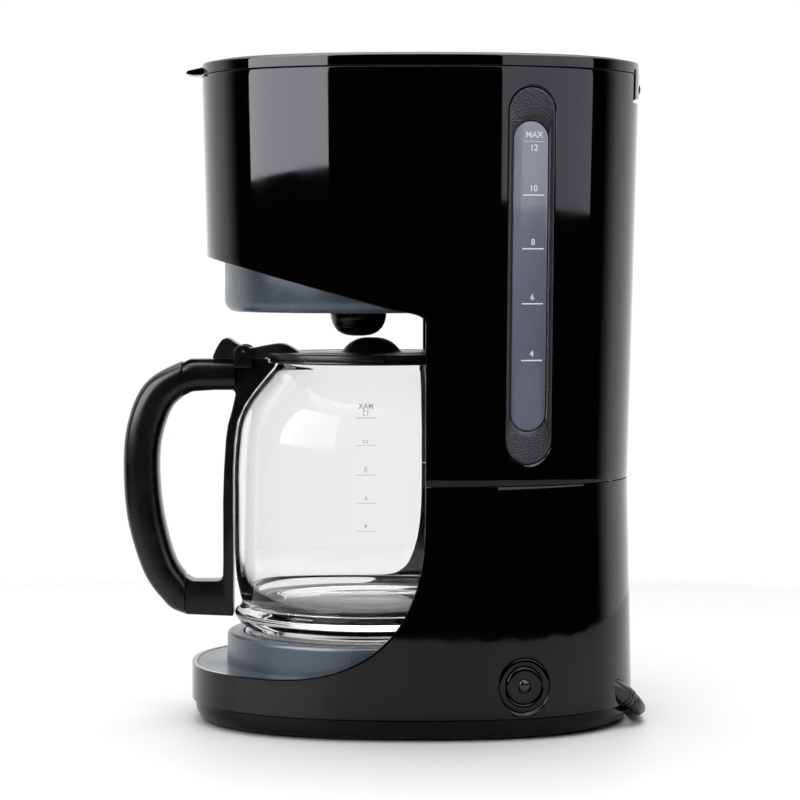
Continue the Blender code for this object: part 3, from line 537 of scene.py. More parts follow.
def make_camera():
    data = bpy.data.cameras.new("camera")
    data.lens = CAMERA_LENS
    data.sensor_width = 36.0
    camera = place_object("camera", data)
    aim = spot(0, *CAMERA_AIM)
    camera.location = (CAMERA_DISTANCE, aim.y, CAMERA_HEIGHT)
    camera.rotation_euler = (aim - camera.location).to_track_quat("-Z", "Y").to_euler()
    bpy.context.scene.camera = camera


def make_floor():
    """Pale round floor that fades out into the bright surroundings."""
    shape = bmesh.new()
    bmesh.ops.create_circle(shape, cap_ends=True, segments=96, radius=FLOOR_RADIUS)
    floor = place_object("floor", to_mesh("floor", shape))
    floor.location = (0, 0, -FLOOR_DROP)
    material, tree, shader = principled("floor", (0.77, 0.77, 0.77), 0.55)
    length = add_node(tree, "VectorMath", own_place(tree), setting=("operation", "LENGTH"))
    ragged = add_node(tree, "Math", noise(tree, 7, 3), FLOOR_RAGGED, length.outputs["Value"],
                      setting=("operation", "MULTIPLY_ADD"))
    fade = add_node(tree, "MapRange", ragged.outputs["Value"], *FLOOR_FADE, setting=SMOOTH_FADE)
    clear = add_node(tree, "BsdfTransparent")
    mix = add_node(tree, "MixShader", fade.outputs["Result"], shader.outputs["BSDF"], clear.outputs["BSDF"])
    connect(tree, tree.nodes["Material Output"], Surface=mix.outputs["Shader"])
    floor.data.materials.append(material)


def make_light(name, place, aim, size, power, colour=(1, 1, 1), seen_in_gloss=True, lights_up=True):
    """Rectangular lamp, which may show in gloss only or light up only."""
    data = bpy.data.lights.new(name, "AREA")
    data.shape = "RECTANGLE"
    data.size, data.size_y = size
    data.energy = power
    data.color = colour
    light = place_object(name, data)
    light.location = place
    light.rotation_euler = (Vector(aim) - Vector(place)).to_track_quat("-Z", "Y").to_euler()
    light.visible_camera = False
    light.visible_glossy = seen_in_gloss
    light.visible_diffuse = lights_up


def make_surroundings():
    """White behind the machine, dim in front of it, and plain white where it is looked at directly."""
    world = bpy.data.worlds.new("studio")
    bpy.context.scene.world = world
    world.use_nodes = True
    tree = world.node_tree
    split = add_node(tree, "SeparateXYZ", add_node(tree, "TexCoord").outputs["Generated"])
    ramp = add_node(tree, "MapRange", split.outputs["X"], *BACKDROP_FADE, 0, BACKDROP_POWER, setting=SMOOTH_FADE)
    path = add_node(tree, "LightPath").outputs
    seen = add_node(tree, "Math", path["Is Camera Ray"], path["Is Transmission Ray"], setting=("operation", "MAXIMUM"))
    mix = add_node(tree, "Mix", Factor=seen.outputs["Value"], A=ramp.outputs["Result"], B=1)
    connect(tree, tree.nodes["Background"], Color=(1, 1, 1, 1), Strength=mix.outputs["Result"])


def make_stage():
    make_camera()
    make_floor()
    make_surroundings()
    make_light("overhead", (0.1, 0, 1.6), (0, 0, 0.1), (1.4, 1.4), 27)
    make_light("ceiling", (0.1, 0, 1.58), (0, 0, 0.1), (2.2, 2.2), 45, lights_up=False)
    make_light("fill", (1.5, -0.5, 0.9), (0, 0, 0.15), (1, 1), 12, seen_in_gloss=False)
    make_light("left_card", (0.607, -0.887, 0.762), (0, 0.012, 0.762), (1.04, 1), 42, (0.92, 0.93, 1),
               lights_up=False)
    make_light("right_card", (0.624, 0.868, 0.732), (0, 0.02, 0.732), (1.12, 1), 13, (0.88, 0.88, 1),
               lights_up=False)
    bpy.context.scene.view_settings.view_transform = "Standard"


# ---------------------------------------------------------------- mains lead

CORD_RADIUS = 3.4
CORD_EXIT = Vector((39, 100.9, 16.5))
CORD_HEADING = Vector((-0.45, 0.74, -0.50)).normalized()
RELIEF_LENGTH = 6.0
COIL_CENTRE = (-146, 54)
COIL_RADIUS = 38.5
COIL_TURNS = 2.45
COIL_START = radians(100)
COIL_STEPS = 36
PLUG_TAIL = Vector((-112, 42, 21.8))
PLUG_TILT = radians(17)
PLUG_AXIS = Vector((0, cos(PLUG_TILT), sin(PLUG_TILT)))


def ease(value, start, width):
    """Smooth step from 0 to 1 over a width."""
    share = min(max((value - start) / width, 0), 1)
    return share * share * (3 - 2 * share)


def cord_route():
    """The lead's centreline: round behind the base, through its coil and up into the plug."""
    tip = CORD_EXIT + CORD_HEADING * (RELIEF_LENGTH + CLEARANCE)
    laid = [tip, tip + CORD_HEADING, tip + CORD_HEADING * 2, (31.8, 108.8, 10), (25.5, 110.3, 7.4), (19, 110.6, 5.7),
            (10, 110.4, 4.5), (0, 110, 3.9), (-10, 109.3, 3.8), (-23, 107.6, 3.8), (-38, 105.4, 3.8),
            (-54, 103.6, 3.8), (-70, 102.4, 3.8), (-88, 101.4, 3.8), (-106, 100.4, 3.8), (-124, 98.6, 3.8)]
    coil = []
    for i in range(int(COIL_STEPS * COIL_TURNS) + 1):
        angle = COIL_START + tau * i / COIL_STEPS
        turn = i / COIL_STEPS
        radius = COIL_RADIUS + CORD_RADIUS - 2 * CORD_RADIUS * ease(turn, 0.85, 0.3)
        height = 0.5 + CORD_RADIUS + 2 * CORD_RADIUS * ease(turn, 1.75, 0.3)
        coil.append((COIL_CENTRE[0] + radius * cos(angle), COIL_CENTRE[1] + radius * sin(angle), height))
    return laid + coil + [(-122.5, 23, 15.2), PLUG_TAIL - PLUG_AXIS * 9, PLUG_TAIL + PLUG_AXIS]


def make_lead():
    """Strain relief, lead, plug and pins."""
    cord = tube("mains_lead", smooth(cord_route(), 3), CORD_RADIUS, 5)
    dress(cord, "cord_black", "power_cord", "cord_coil", "cord_lead")
    profile = [(0, -11.5), (4.6, -11.5), (4.9, -10.8), (4.9, 0.6), (4.2, 0.9), (4.2, 1.7), (4.75, 2), (4.65, 3.1),
               (4, 3.4), (4, 4.2), (4.45, 4.5), (4.35, 5.5), (4, RELIEF_LENGTH), (0, RELIEF_LENGTH)]
    relief = lathe("lead_strain_relief", profile, segments=48, matrix=aimed(CORD_EXIT, CORD_HEADING))
    dress(relief, "cord_black", "strain_relief")
    profile = (
        (0, 0), (4.6, 0), (5.2, 0.8), (7, 4), (8.8, 8), (10.4, 14), (11.5, 20), (12.6, 26), (14.2, 30), (17.4, 32.6),
        (18.3, 34), (18.5, 35.5), (18.5, 44.6), (18, 45.6), (17.2, 46), (13, 46), (12.6, 45.2), (0, 45.2)
    )
    plug = lathe("mains_plug", profile, segments=72, matrix=aimed(PLUG_TAIL, PLUG_AXIS))
    dress(plug, "cord_black", "plug")
    for number, side in enumerate((-1, 1), 1):
        start = PLUG_TAIL + Vector((side * 9.5, 0, 0)) + PLUG_AXIS * 45.4
        pin = rod(f"mains_pin_{number}", start, start + PLUG_AXIS * 19.6, 2.4, 32, 0.8)
        dress(pin, "nickel", f"plug_pin_{number}")


# ---------------------------------------------------------------- housings

def wall_grid(name, stations, levels, rear_levels):
    """Wall of a housing on columns round the plan.

    stations are plan angles from the front to the rear on the +X side. levels(angle) gives a column's
    heights. rear_levels are added below or above on the columns of the rear, from the column's edge on.
    """
    shape = bmesh.new()

    def column(angle, heights):
        return [shape.verts.new(wall_point(angle, z)) for z in heights]

    def fill(columns):
        for first, second in zip(columns, columns[1:]):
            for i in range(len(first) - 1):
                shape.faces.new((first[i], second[i], second[i + 1], first[i + 1]))

    around = stations + [pi - angle for angle in stations[-2:0:-1]]
    split = [k for k, angle in enumerate(around) if abs(angle - EDGE_ANGLE) < 1e-9][0]
    columns = [column(angle, levels(angle)) for angle in around]
    fill(columns + columns[:1])
    below = rear_levels[-1] < levels(pi / 2)[0] + 1e-6
    extra = []
    for angle, edge in list(zip(around, columns))[split:len(around) - split + 1]:
        rear = column(angle, rear_levels)
        extra.append([*rear, edge[0]] if below else [edge[-1], *rear])
    fill(extra)
    return finish_mesh(name, shape)


def wall_point(angle, z):
    """Point of the outside wall at a plan angle and a height."""
    front, rear, width = plan(z)
    folded = angle if angle <= pi / 2 else pi - angle
    x, y = superellipse(folded, width, rear if folded > 0 else front)
    return (x if angle <= pi / 2 else -x), y, z


def plan_angle(y, depth):
    """Plan angle on the +X side at which the outline passes a depth."""
    return copysign(asin(min(1, (abs(y) / depth) ** (OVAL_POWER / 2))), y)


EDGE_ANGLE = plan_angle(COLUMN_FRONT_Y, WAIST_DEPTH)
UPPER_ROWS, LOWER_ROWS, REAR_ROWS = 26, 22, 16
SWEEP_COLUMNS, REAR_COLUMNS = 34, 44


def wall_stations(fine):
    """Plan angles from the front to the rear: even steps, then the fine ones of a cut edge, then even again."""
    front = [angle for angle in (radians(-90 + 2.2 * i) for i in range(39)) if angle < fine[0] - 0.01]
    return front + fine + steps(EDGE_ANGLE, pi / 2, REAR_COLUMNS)


def thicken(piece):
    """Give a wall its thickness, inwards, and round its edges."""
    solid = piece.modifiers.new("solid", "SOLIDIFY")
    solid.thickness = WALL * MM
    solid.offset = -1.0
    solid.use_even_offset = False
    return soften(settle(piece), 0.5)


def gauge_loft(name, rings):
    """Loft of stadiums, each of a width, a height and a level above the wall, at the gauge's place."""
    outlines = [[(a, b, level) for a, b in stadium(width, height)] for width, height, level in rings]
    return loft(name, outlines, side_frame(GAUGE_Y, GAUGE_Z, UPPER_TAPER))


def make_upper_housing():
    def head_bottom(angle):
        z = 220.0
        for _ in range(8):
            z = interpolate(HEAD_EDGE, wall_point(angle, z)[1])
        return z

    def levels(angle):
        folded = min(angle, pi - angle)
        low = head_bottom(angle) if folded < EDGE_ANGLE - 1e-9 else HEAD_EDGE[-1][1]
        return steps(low, LID_SEAM_Z, UPPER_ROWS)

    fine = [plan_angle(y, WAIST_DEPTH + 2) for y, _ in HEAD_EDGE[1:-1]]
    rear_levels = steps(WAIST_Z + HALF_SEAM, HEAD_EDGE[-1][1], REAR_ROWS)[:-1]
    shell = thicken(wall_grid("upper_shell", wall_stations(fine), levels, rear_levels))
    # Flared where it meets the wall's outside
    combine(shell, gauge_loft("gauge_cutter", ((24.6, 182.1, -12), (24.6, 182.1, -1.1), (25, 182.5, -0.75),
                                               (25.8, 183.3, -0.45), (29, 186.5, 0.9), (40, 196, 5))))
    combine(shell, block("notch", (-34, 90, HINGE_Z - 7.2), (34, 130, LID_SEAM_Z + 8)))
    dress(shell, "gloss_black", "upper_housing")


def make_lower_housing():
    def sweep(y):
        if y <= SWEEP_CENTRE[0]:
            return DECK_RIM_Z
        share = min(1, (y - SWEEP_CENTRE[0]) / SWEEP_REACH[0])
        return SWEEP_CENTRE[1] - SWEEP_REACH[1] * (1 - share ** SWEEP_POWER) ** (1 / SWEEP_POWER)

    def levels(angle):
        folded = min(angle, pi - angle)
        top = SWEEP_CENTRE[1]
        if folded < EDGE_ANGLE - 1e-9:
            top = 60.0
            for _ in range(20):
                top = 0.5 * top + 0.5 * sweep(wall_point(angle, top)[1])
        return steps(BASE_SEAM_Z, top, LOWER_ROWS)

    reach = COLUMN_FRONT_Y - 0.02 - SWEEP_CENTRE[0]
    swept = [SWEEP_CENTRE[0] + reach * sin(turn) for turn in steps(0, pi / 2, SWEEP_COLUMNS)[:-1]]
    fine = [plan_angle(y, LOWER_FRONT if y < 0 else WAIST_DEPTH) for y in swept]
    rear_levels = steps(SWEEP_CENTRE[1], WAIST_Z - HALF_SEAM, 3)[1:]
    shell = thicken(wall_grid("lower_shell", wall_stations(fine), levels, rear_levels))
    side = side_frame(BUTTON_Y, BUTTON_Z, -LOWER_TAPER)
    profile = ((0, -12), (13.3, -12), (13.3, -1), (13.45, -0.75), (13.8, -0.45), (18, 2), (18, 8), (0, 8))
    combine(shell, lathe("button_hole", profile, matrix=side))
    combine(shell, rod("cord_hole", CORD_EXIT - CORD_HEADING * 20, CORD_EXIT + CORD_HEADING * 25, 5.3))
    dress(shell, "gloss_black", "lower_housing")


def screw_places():
    """Screw positions on the flat of the bottom, one on each diagonal of the base."""
    grow = LOWER_TAPER * (WAIST_Z - BASE_SEAM_Z) - SCREW_INSET
    places = []
    for side in (-1, 1):
        for depth, end in ((WAIST_DEPTH + grow, 1), (LOWER_FRONT - SCREW_INSET, -1)):
            x, y = superellipse(radians(45), WAIST_WIDTH + grow, depth)
            places.append((side * x, end * y))
    return places


def make_bottom():
    """Bottom cover, rubber feet and screws."""
    profile = (
        (9, 4.6), (6.6, 6), (5.6, 7.4), (5.4, 10.7), (2.1, 10.7), (1.85, 10.5), (1.8, 10.1), (1.85, 8.2), (1.95, 6.8),
        (2.2, 5.4), (2.7, 4.1), (3.4, 3), (3.82, 2.5), (4.3, 2.05), (5.4, 1.4), (6.6, 1), (7.8, 0.8), (8.8, 0.8)
    )
    cover = loft("base_cover", [lower_ring(z, inset) for inset, z in profile])
    for x, y in screw_places():
        combine(cover, rod("counterbore", (x, y, -1), (x, y, 4.4), 3.9))
    for number, (x, y) in enumerate(FOOT_PLACES, 1):
        combine(cover, rod("pocket", (x, y, -1), (x, y, 3.3), 9.3))
        profile = ((0, 3), (9, 3), (9, 0.9), (8.8, 0.35), (8.3, 0), (7.2, 0), (6.8, 0.5), (6.2, 0.5),
                   (5.8, 0), (4.6, 0), (4.2, 0.5), (3.6, 0.5), (3.2, 0), (0, 0))
        dress(lathe(f"foot_{number}", profile, (x, y), 64), "rubber", f"rubber_foot_{number}")
    dress(settle(soften(cover, 0.25), 14), "base_black", "bottom_cover")
    for number, (x, y) in enumerate(screw_places(), 1):
        profile = ((0, 2.2), (2.4, 2.2), (3.2, 2.5), (3.5, 3), (3.5, 4.1), (1.8, 4.1), (1.8, 21), (0, 22))
        screw = lathe(f"cover_screw_{number}", profile, (x, y), 32)
        for long_x, long_y in ((1.9, 0.35), (0.35, 1.9)):
            combine(screw, block("cross", (x - long_x, y - long_y, 0), (x + long_x, y + long_y, 3.4)))
        dress(screw, "steel", f"base_screw_{number}")


def shell_interior(low, high):
    """Space inside both housings, kept a clearance away from their walls."""
    inset = WALL + CLEARANCE
    rings = [lower_ring(low, inset)]
    if high > WAIST_Z > low:
        rings += [lower_ring(WAIST_Z - 0.05, inset), upper_ring(WAIST_Z + 0.05, inset)]
    elif low > WAIST_Z:
        rings = [upper_ring(low, inset)]
    rings.append(upper_ring(high, inset))
    return loft("interior", rings)


def make_deck():
    """Grey deck with the raised collar around the warming plate, and the plate."""
    outline = oval(WAIST_WIDTH + 2 - WALL - CLEARANCE, LOWER_FRONT - WALL - CLEARANCE, WAIST_DEPTH)
    deck = prism("deck", outline, 26.3, 28.5)
    combine(deck, block("rear", (-100, 52.5, 20), (100, 120, 40)))
    combine(deck, block("switch_clearance", (52, 32, 20), (100, 120, 40)))
    combine(deck, rod("opening", (0, CARAFE_Y, 20), (0, CARAFE_Y, 40), 73, 128))
    collar = ((74, 26.3), (74, 29), (73.8, 41.6), (73.7, 42.5), (73.4, 43.2), (72.9, 43.7), (72.2, 43.95), (71.5, 44),
              (66.6, 44), (66, 43.9), (65.6, 43.5), (65.5, 43), (65.5, 41.8), (71.4, 41.8), (71.4, 26.3))
    combine(deck, lathe("collar", collar, (0, CARAFE_Y), 128), "UNION")
    dress(deck, "slate_grey", "base_deck")
    profile = ((0, 44.1), (20, 44.1), (20.5, 43.8), (22.5, 43.8), (23, 44.1), (40, 44.1), (40.5, 43.8),
               (42.5, 43.8), (43, 44.1), (61, 44.1), (61.8, 44.3), (63.6, 44.3), (64.4, 44.1), (64.8, 43.6),
               (64.8, 41.5), (70.5, 41.5), (70.5, 40), (0, 40))
    dress(lathe("warming_plate", profile, (0, CARAFE_Y), 128), "plate_coating", "hot_plate")


def make_column_panel():
    """Grey panel behind the carafe: a concave wall with a flange to each side."""
    outline = []
    for radius, y in ((ALCOVE_RADIUS, 4.5), (ALCOVE_RADIUS + 2.5, 7)):
        rise = y - CARAFE_Y
        start = atan2(rise, sqrt(radius * radius - rise * rise))
        arc = [(radius * cos(turn), CARAFE_Y + radius * sin(turn)) for turn in steps(pi - start, start, 64)]
        line = [(-90, y), *arc, (90, y)]
        outline += line[::-1] if outline else line
    panel = prism("alcove_panel", outline, DECK_Z + CLEARANCE, 204)
    combine(panel, shell_interior(10, 220), "INTERSECT")
    dress(panel, "slate_grey", "column_panel")


def make_basket_housing():
    """Grey drum that holds the filter, with the sloping apron that closes the head from below."""
    under = [(-112, 236.3), (-13.2, 208.9), (-10, 208.4), (-6.8, 208), (-4.4, 207.5), (-2, 206.8),
             (-0.4, 206.2), (1, 205.6), (2.6, 204.6), (54, 204.6)]
    apron = prism("drum_housing", under + [(y, z + 2) for y, z in under[::-1]], -100, 100, "x")
    combine(apron, shell_interior(190, 250), "INTERSECT")
    behind = block("behind", (-110, 4.5, 190), (110, 120, 260))
    combine(behind, rod("alcove", (0, CARAFE_Y, 180), (0, CARAFE_Y, 270), ALCOVE_RADIUS + 3.6, 128))
    combine(apron, behind)
    drum = ((0, 207), (62, 207), (63.6, 207.3), (65.2, 208), (66.6, 209.2), (67.5, 210.6), (68, 212.4),
            (68, 300), (0, 300))
    combine(apron, lathe("drum", drum, (0, FILTER_Y), 128), "UNION")
    inside = ((0, 209.5), (62, 209.5), (64.4, 210.6), (65.5, 213), (65.5, 310), (0, 310))
    combine(apron, lathe("inside", inside, (0, FILTER_Y), 128))
    outlet = ((0, 200), (16, 200), (16, 206.6), (15.3, 207.2), (15, 208), (15, 215), (0, 215))
    combine(apron, lathe("outlet", outlet, (0, FILTER_Y)))
    dress(apron, "slate_grey", "basket_housing")
    profile = ((0, 194.5), (3.2, 194.55), (6, 194.9), (8.4, 195.7), (10.5, 197), (12.2, 198.9), (13.3, 200.9),
               (14, 203.2), (14.3, 205.4), (14.2, 205.9), (13.8, 206), (12.5, 206), (12.5, 199), (3.8, 199),
               (3.8, 216.4), (8.5, 216.4), (8.5, 218.3), (0, 218.3))
    dress(lathe("drip_plunger", profile, (0, FILTER_Y)), "satin_black", "drip_stop_valve", body="drip_stop")


# ---------------------------------------------------------------- lid

def make_lid():
    """Top lid with a raised panel, its lifting tab and its two hinge knuckles."""
    low = LID_SEAM_Z + CLEARANCE
    profile = ((329.8, 4.6), (328.6, 2.4), (low, 2.4), (low, 0.3), (low + 0.1, 0.1), (low + 0.25, 0),
               (low + 0.35, 0), (330.1, 0), (330.55, 0), (330.7, 0.06), (330.75, 0.3), (330.75, 12))
    shell = loft("lid_shell", [upper_ring(z, inset) for z, inset in profile], smooth_angle=50)
    dress(shell, "gloss_black", "top_lid", body="lid")
    profile = ((330.3, 3), (330.3, 0.3), (330.85, 0.2), (331.15, 0.38), (331.4, 0.8), (331.45, 1.4), (331.5, 4.2),
               (331.55, 4.8), (331.8, 5.1), (332.2, 5.3), (332.4, 5.6), (332.5, 6.4), (332.5, 12))
    panel = loft("lid_panel", [upper_ring(z, inset) for z, inset in profile], smooth_angle=50)
    dress(panel, "panel_black", body="lid")
    tab = ((-106, 330.2), (-106, 326.2), (-111.3, 326), (-114, 325.9), (-117.4, 326.4), (-118, 327.2),
           (-117.2, 328.2), (-109.6, 329.9))
    lip = prism("lid_tab", fillet(tab, 2), -18, 18, "x")
    dress(soften(lip, 0.5, 4, 30), "gloss_black", body="lid")
    for number, side in enumerate((-1, 1), 1):
        inner, outer = sorted((side * 22, side * 33))
        outline = [(HINGE_Y + 6.2 * cos(turn), HINGE_Z + 6.2 * sin(turn)) for turn in steps(pi, 1.5 * pi, 12)]
        outline += [(HINGE_Y + 3.4, 312.9), (109.2, 313.8), (110, 315), (110.2, 324.5), (109.4, 326.5),
                    (103, 330), (HINGE_Y - 4, 330), (HINGE_Y - 6.2, 326)]
        knuckle = prism(f"lid_knuckle_{number}", outline, inner, outer, "x")
        combine(knuckle, loft("rear", [upper_ring(300, -0.6), upper_ring(340, -0.6)]), "INTERSECT")
        combine(knuckle, rod("bore", (inner - 2, HINGE_Y, HINGE_Z), (outer + 2, HINGE_Y, HINGE_Z), 1.7, 32))
        dress(soften(knuckle, 0.3), "gloss_black", body="lid")


# ---------------------------------------------------------------- gauge and button

def flat_label(words, height, place):
    """Thin raised lettering, whose points place() moves from its own plane onto a surface."""
    data = bpy.data.curves.new("lettering", "FONT")
    data.body = words
    data.size = height
    data.align_x = "CENTER"
    data.align_y = "CENTER"
    data.extrude = 0.03
    data.offset = 0.05
    data.resolution_u = 4
    source = place_object("lettering", data)
    mesh = evaluated_mesh(source)
    bpy.data.objects.remove(source)
    shape = bmesh.new()
    shape.from_mesh(mesh)
    for vertex in shape.verts:
        vertex.co = place(*vertex.co)
    return shape


def flat_bar(width, height, place):
    """Thin raised bar on a surface, in enough steps to follow it."""
    shape = bmesh.new()
    columns = []
    for i in range(13):
        u = width * (i / 12 - 0.5)
        columns.append([shape.verts.new(place(u, v, w)) for v, w in
                        ((-height / 2, -0.03), (height / 2, -0.03), (height / 2, 0.03), (-height / 2, 0.03))])
    for first, second in zip(columns, columns[1:]):
        for i in range(4):
            shape.faces.new((first[i], first[(i + 1) % 4], second[(i + 1) % 4], second[i]))
    shape.faces.new(columns[0])
    shape.faces.new(columns[-1][::-1])
    return shape


def make_marks(name, rows, place_at, text_height, material, body, thickness=0.6):
    """One piece from a column of lines, each with its words above or below it."""
    whole = bmesh.new()
    for z, width, words, drop in rows:
        parts = [flat_bar(width, thickness, place_at(z))]
        if words:
            parts.append(flat_label(words, text_height, place_at(z + drop)))
        for part in parts:
            mesh = to_mesh("part", part)
            whole.from_mesh(mesh)
            bpy.data.meshes.remove(mesh)
    dress(finish_mesh(name, whole), material, body=body)


def make_gauge():
    """Dished frame, smoky window and printed marks of the water gauge."""
    rings = ((24, 181.5, -3.6), (24, 181.5, -1.3), (23.7, 181.2, -1), (23.2, 180.7, -0.9),
             (22.6, 179.4, -0.92), (21.4, 174, -1.1), (20.2, 164, -1.4), (19.1, 155.5, -1.75),
             (18.5, 150.8, -2.1), (18.3, 149.9, -2.5), (18.2, 149.6, -3))
    border = gauge_loft("gauge_border", rings)
    combine(border, gauge_loft("opening", ((18.2, 149.6, -5), (18.2, 149.6, -1.5))))
    dress(border, "textured_black", "gauge_frame")
    rings = ((17.6, 149, -3.5), (17.6, 149, -2), (17.4, 148.8, -1.8), (17, 148.4, -1.7))
    dress(gauge_loft("gauge_pane", rings), "gauge_glazing", "gauge_window")
    side = side_frame(GAUGE_Y, GAUGE_Z, UPPER_TAPER)

    def place_at(z):
        return lambda u, v, w: side @ Vector((u + 1.4, v + z - GAUGE_Z, w - 1.67))

    rows = ((289.9, 11, "MAX", 3.1), (264.2, 11, "10", 3.1), (238.4, 11, "8", 3.1),
            (211.9, 11, "6", 3.1), (184.5, 11, "4", 3.1))
    make_marks("gauge_marks", rows, place_at, 4.2, "printed_white", "machine")
    make_marks("gauge_top_number", ((289.9, 11, "12", -3.1),), place_at, 4.2, "printed_white", "machine")


def make_switch():
    """Bezel, button and lens of the power switch."""
    side = side_frame(BUTTON_Y, BUTTON_Z, -LOWER_TAPER)
    profile = ((9.3, -6), (13, -6), (13, -1.3), (12.85, -0.95), (12.5, -0.8), (10.2, -0.98), (9.7, -1.08),
               (9.45, -1.25), (9.3, -1.6))
    dress(lathe("button_bezel", profile, matrix=side), "gloss_black", "switch_bezel")
    profile = ((3.1, -5), (9, -5), (9, -0.9), (8.85, -0.55), (8.5, -0.32), (8, -0.22), (6, -0.3),
               (4.2, -0.36), (3.4, -0.32), (3.1, -0.42))
    dress(lathe("button_cap", profile, matrix=side), "gloss_black", "power_button", body="button")
    profile = ((0, -5), (2.8, -5), (2.8, -0.3), (2.65, -0.05), (2.3, 0.2), (1.6, 0.42), (0.8, 0.55), (0, 0.6))
    dress(lathe("button_lens", profile, segments=64, matrix=side), "indicator", "indicator_lens", body="button")


# ---------------------------------------------------------------- carafe

GLASS_OUTSIDE = (
    (46, 46.3), (50, 45.3), (54, 44.7), (57.4, 44.6), (60.5, 45), (63.4, 46.1), (65.8, 47.6), (68, 49.4),
    (69.5, 51.6), (69.9, 53.6), (69.3, 55.4), (67.7, 56.9), (66.8, 58.2), (66.8, 60), (67.4, 62.6), (68.1, 66),
    (69, 71), (69.6, 77), (70, 88), (70.05, 106), (70, 125), (69.5, 135), (68.9, 142), (67.5, 151), (64.2, 159),
    (59, 166.5), (53, 173.8), (49.9, 177.2), (48.2, 179.6), (47.1, 181.6), (46.6, 182.6)
)
GLASS_INSIDE = (
    (44.9, 182.8), (44.5, 182), (45.5, 179.6), (47.6, 176.9), (52, 172), (57.6, 165.2), (62.5, 158), (65.8, 150),
    (67.2, 141), (68.2, 125), (68.2, 106), (68, 86), (67.2, 77), (65.3, 69), (62.6, 63.4), (59.4, 59.2), (55.4, 56.2),
    (50, 54.2), (42, 53), (30, 52.6)
)


def make_glass():
    profile = [(0, 46.6), (30, 46.6), *smooth(GLASS_OUTSIDE, 3), (45.9, 183.05), (45.3, 183.1),
               *smooth(GLASS_INSIDE, 3), (0, 52.5)]
    dress(lathe("glass_jug", profile, (0, CARAFE_Y), 160, smooth_angle=60), "clear_glass", "carafe_glass",
          body="carafe")
    middle_angle = pi + (CARAFE_Y + 28.8) / 70

    def place_at(z):
        def place(u, v, w):
            height = z + v
            radius = interpolate([(top, reach) for reach, top in GLASS_OUTSIDE], height) + 0.03 + w
            angle = middle_angle + u / radius
            return Vector((radius * cos(angle), CARAFE_Y + radius * sin(angle), height))
        return place

    rows = ((149.8, 11.3, "12", 2.4), (152.4, 0.1, "MAX", 3), (133.1, 11.3, "10", 2.6), (117.9, 11.3, "8", 2.6),
            (102.4, 11.3, "6", 2.6), (87.2, 11.3, "4", 2.6))
    make_marks("jug_marks", rows, place_at, 3.9, "printed_grey", "carafe", 0.4)


def make_carafe_lid():
    """Collar, lid with its thumb lever, and pin."""
    profile = ((48.3, 180.9), (50.6, 180.95), (51.6, 181.15), (52, 181.6), (52, 182.3), (51.8, 182.65),
               (51.4, 182.8), (47.4, 182.8))
    dress(lathe("jug_collar", profile, (0, CARAFE_Y), 128), "lid_black", "carafe_collar", body="carafe")
    profile = (
        (0, 193.8), (3.6, 193.75), (6.1, 193.3), (8.4, 192.5), (10.5, 191.4), (12.2, 190.1), (13.6, 188.6),
        (14.5, 187.3), (15.6, 186.5), (17, 186.2), (40, 186.2), (40.6, 185.9), (42.4, 185.9), (43, 186.2),
        (52.4, 186.2), (53, 186), (53.4, 185.6), (53.5, 185), (53.5, 183.5), (53.2, 183.1), (44, 183.1), (44, 181.2),
        (43.7, 180.9), (42.8, 180.9), (42.5, 181.2), (42.5, 183.9), (13, 183.9), (11.6, 187.9), (9, 190), (4, 191.6),
        (0, 191.6)
    )
    lid = lathe("jug_lid", profile, (0, CARAFE_Y), 128)
    outline = smooth(((-105.7, 183.6), (-103.9, 188), (-101.3, 192.2), (-99.4, 193.3), (-97.2, 193.1), (-94, 191),
                      (-90.7, 189.3), (-85.5, 188.5), (-80.5, 189.4), (-76.4, 190.1), (-72.4, 190.6), (-68.6, 190.2),
                      (-65.2, 188.6), (-62.4, 186.8), (-60, 185.3)), 3)
    outline += [(-77, 184), (-80, 182.95), (-96, 182.9), (-104.8, 183)]
    lever = soften(prism("thumb_lever", outline, -9, 9, "x"), 1.1, 4, 50)
    combine(lid, lever, "UNION")
    dress(lid, "lid_black", "carafe_lid", body="carafe")
    pin = rod("jug_lid_pin", (-12.6, -90, 187), (12.6, -90, 187), 1, 24, 0.2)
    dress(pin, "steel", "carafe_lid_pin", body="carafe")


def handle_section(half_width, half_depth):
    """Rounded outline of the handle: points across it and in its depth."""
    return [superellipse(tau * i / 56, half_width, half_depth, 3) for i in range(56)]


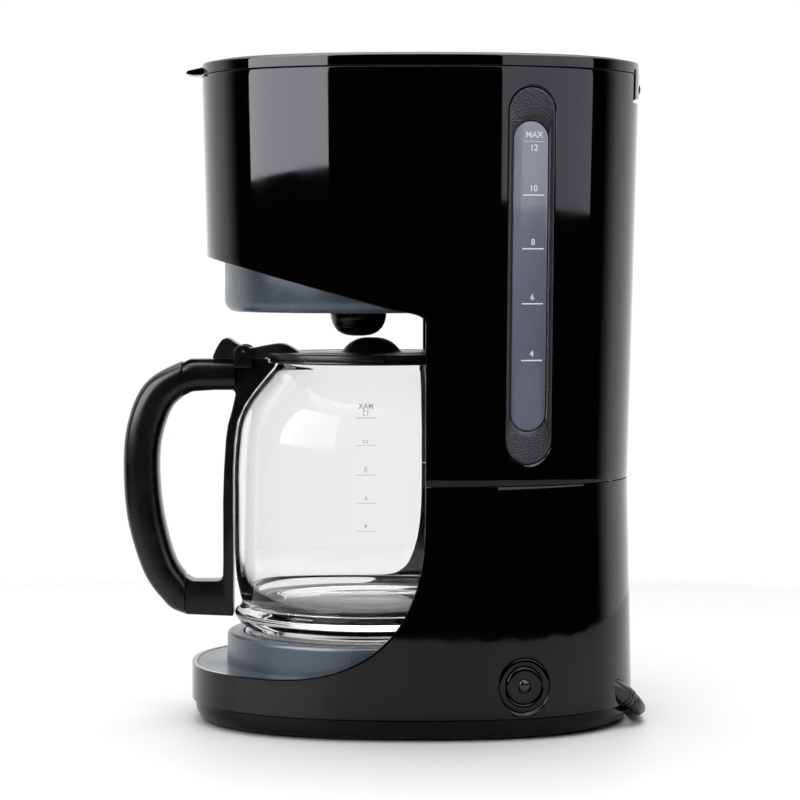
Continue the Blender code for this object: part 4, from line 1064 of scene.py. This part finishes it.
def make_handle():
    """Strap against the glass, its clevis for the lid's pin, and the curved grip."""
    corners = (
        (-128, 177.2), (-117.4, 182.8), (-77.6, 182.8), (-77.5, 180.75), (-73.7, 180.75), (-74.5, 178.5),
        (-78.5, 173.8), (-84.5, 166.5), (-89.7, 159), (-93.2, 151), (-94.7, 141.2), (-95.6, 125), (-95.6, 51.5),
        (-96.8, 51.5), (-119, 52.4), (-126, 54.8), (-126, 75.6), (-116.6, 69.4), (-100.8, 69.3), (-100.6, 80),
        (-100.6, 110.6), (-100.1, 125.9), (-99.1, 141.2), (-98.1, 148.9), (-96, 156.5), (-94, 165.2), (-95, 167.1),
        (-104.8, 167.1), (-115.9, 166.4), (-128, 160.4)
    )
    strap = prism("jug_strap", fillet(corners, 5), -8, 8, "x")
    soften(strap, 2.2, 4, 45)
    route = ((-128, 168.6, 8.4), (-121.3, 172.4, 8.4), (-117, 174.2, 8.3), (-112, 174.85, 8.05),
             (-104, 174.95, 7.95), (-94.5, 174.95, 7.9))
    arm = [[(x, y, z + off) for x, off in handle_section(ARM_HALF_WIDTH, half)] for y, z, half in smooth(route, 5)]
    combine(strap, loft("arm", arm, smooth_angle=50), "UNION")
    combine(strap, block("upper_seam", (-20, -140, 120), (20, -121.3, 210)))
    combine(strap, block("lower_seam", (-20, -140, 30), (20, -120, 110)))
    yoke = block("yoke", (-13, -94.5, 178.6), (13, -85.5, 182.1))
    for side in (-1, 1):
        inner, outer = sorted((side * 9.6, side * 13))
        ear = [(-85.5, 181), (-85.5, 187)]
        ear += [(-90 + 4.5 * cos(radians(angle)), 187 + 3.0 * sin(radians(angle))) for angle in range(10, 180, 10)]
        ear += [(-94.5, 187), (-94.5, 181)]
        combine(yoke, prism("ear", ear, inner, outer, "x"), "UNION")
    combine(strap, soften(yoke, 0.35), "UNION")
    combine(strap, rod("ear_bore", (-20, -90, 187), (20, -90, 187), 1.2))
    combine(strap, rod("screw_seat", (0, -112, 50), (0, -112, 55), 3.6))
    dress(strap, "satin_black", "handle_strap", body="carafe")
    route = (
        (-112.7, 175.4, 8), (-121.7, 172.8, 8.2), (-133.6, 164.2, 9.3), (-140.2, 148.9, 9.4), (-142.5, 129.8, 9.2),
        (-140.6, 103, 9.4), (-133.5, 77.5, 9), (-124.6, 64.6, 8.9), (-120.4, 61.3, 8.7), (-111.4, 58.6, 8.5)
    )
    line = smooth(route, 7)
    rings = []
    for i, (y, z, half) in enumerate(line):
        ahead = Vector(line[min(i + 1, len(line) - 1)]) - Vector(line[max(i - 1, 0)])
        across = Vector((-ahead[1], ahead[0])).normalized()
        rings.append([(x, y + across[0] * off, z + across[1] * off)
                      for x, off in handle_section(GRIP_HALF_WIDTH, half)])
    grip = loft("jug_grip", rings, smooth_angle=50)
    combine(grip, block("upper_seam", (-20, -121.7, 120), (20, -90, 210)))
    combine(grip, block("lower_seam", (-20, -120.4, 30), (20, -90, 110)))
    dress(soften(grip, 0.4, 3, 60), "satin_black", "handle_grip", body="carafe")


make_stage()
make_lead()
make_upper_housing()
make_lower_housing()
make_bottom()
make_deck()
make_column_panel()
make_basket_housing()
make_lid()
make_gauge()
make_switch()
make_glass()
make_carafe_lid()
make_handle()

NODE_MATERIALS = {part["node"]: part["material_slot"] for part in frame["record"]["subparts"]}
for name, node in frame["nodes"].items():
    node.data.materials.clear()
    node.data.materials.append(MATERIALS[NODE_MATERIALS[name]])
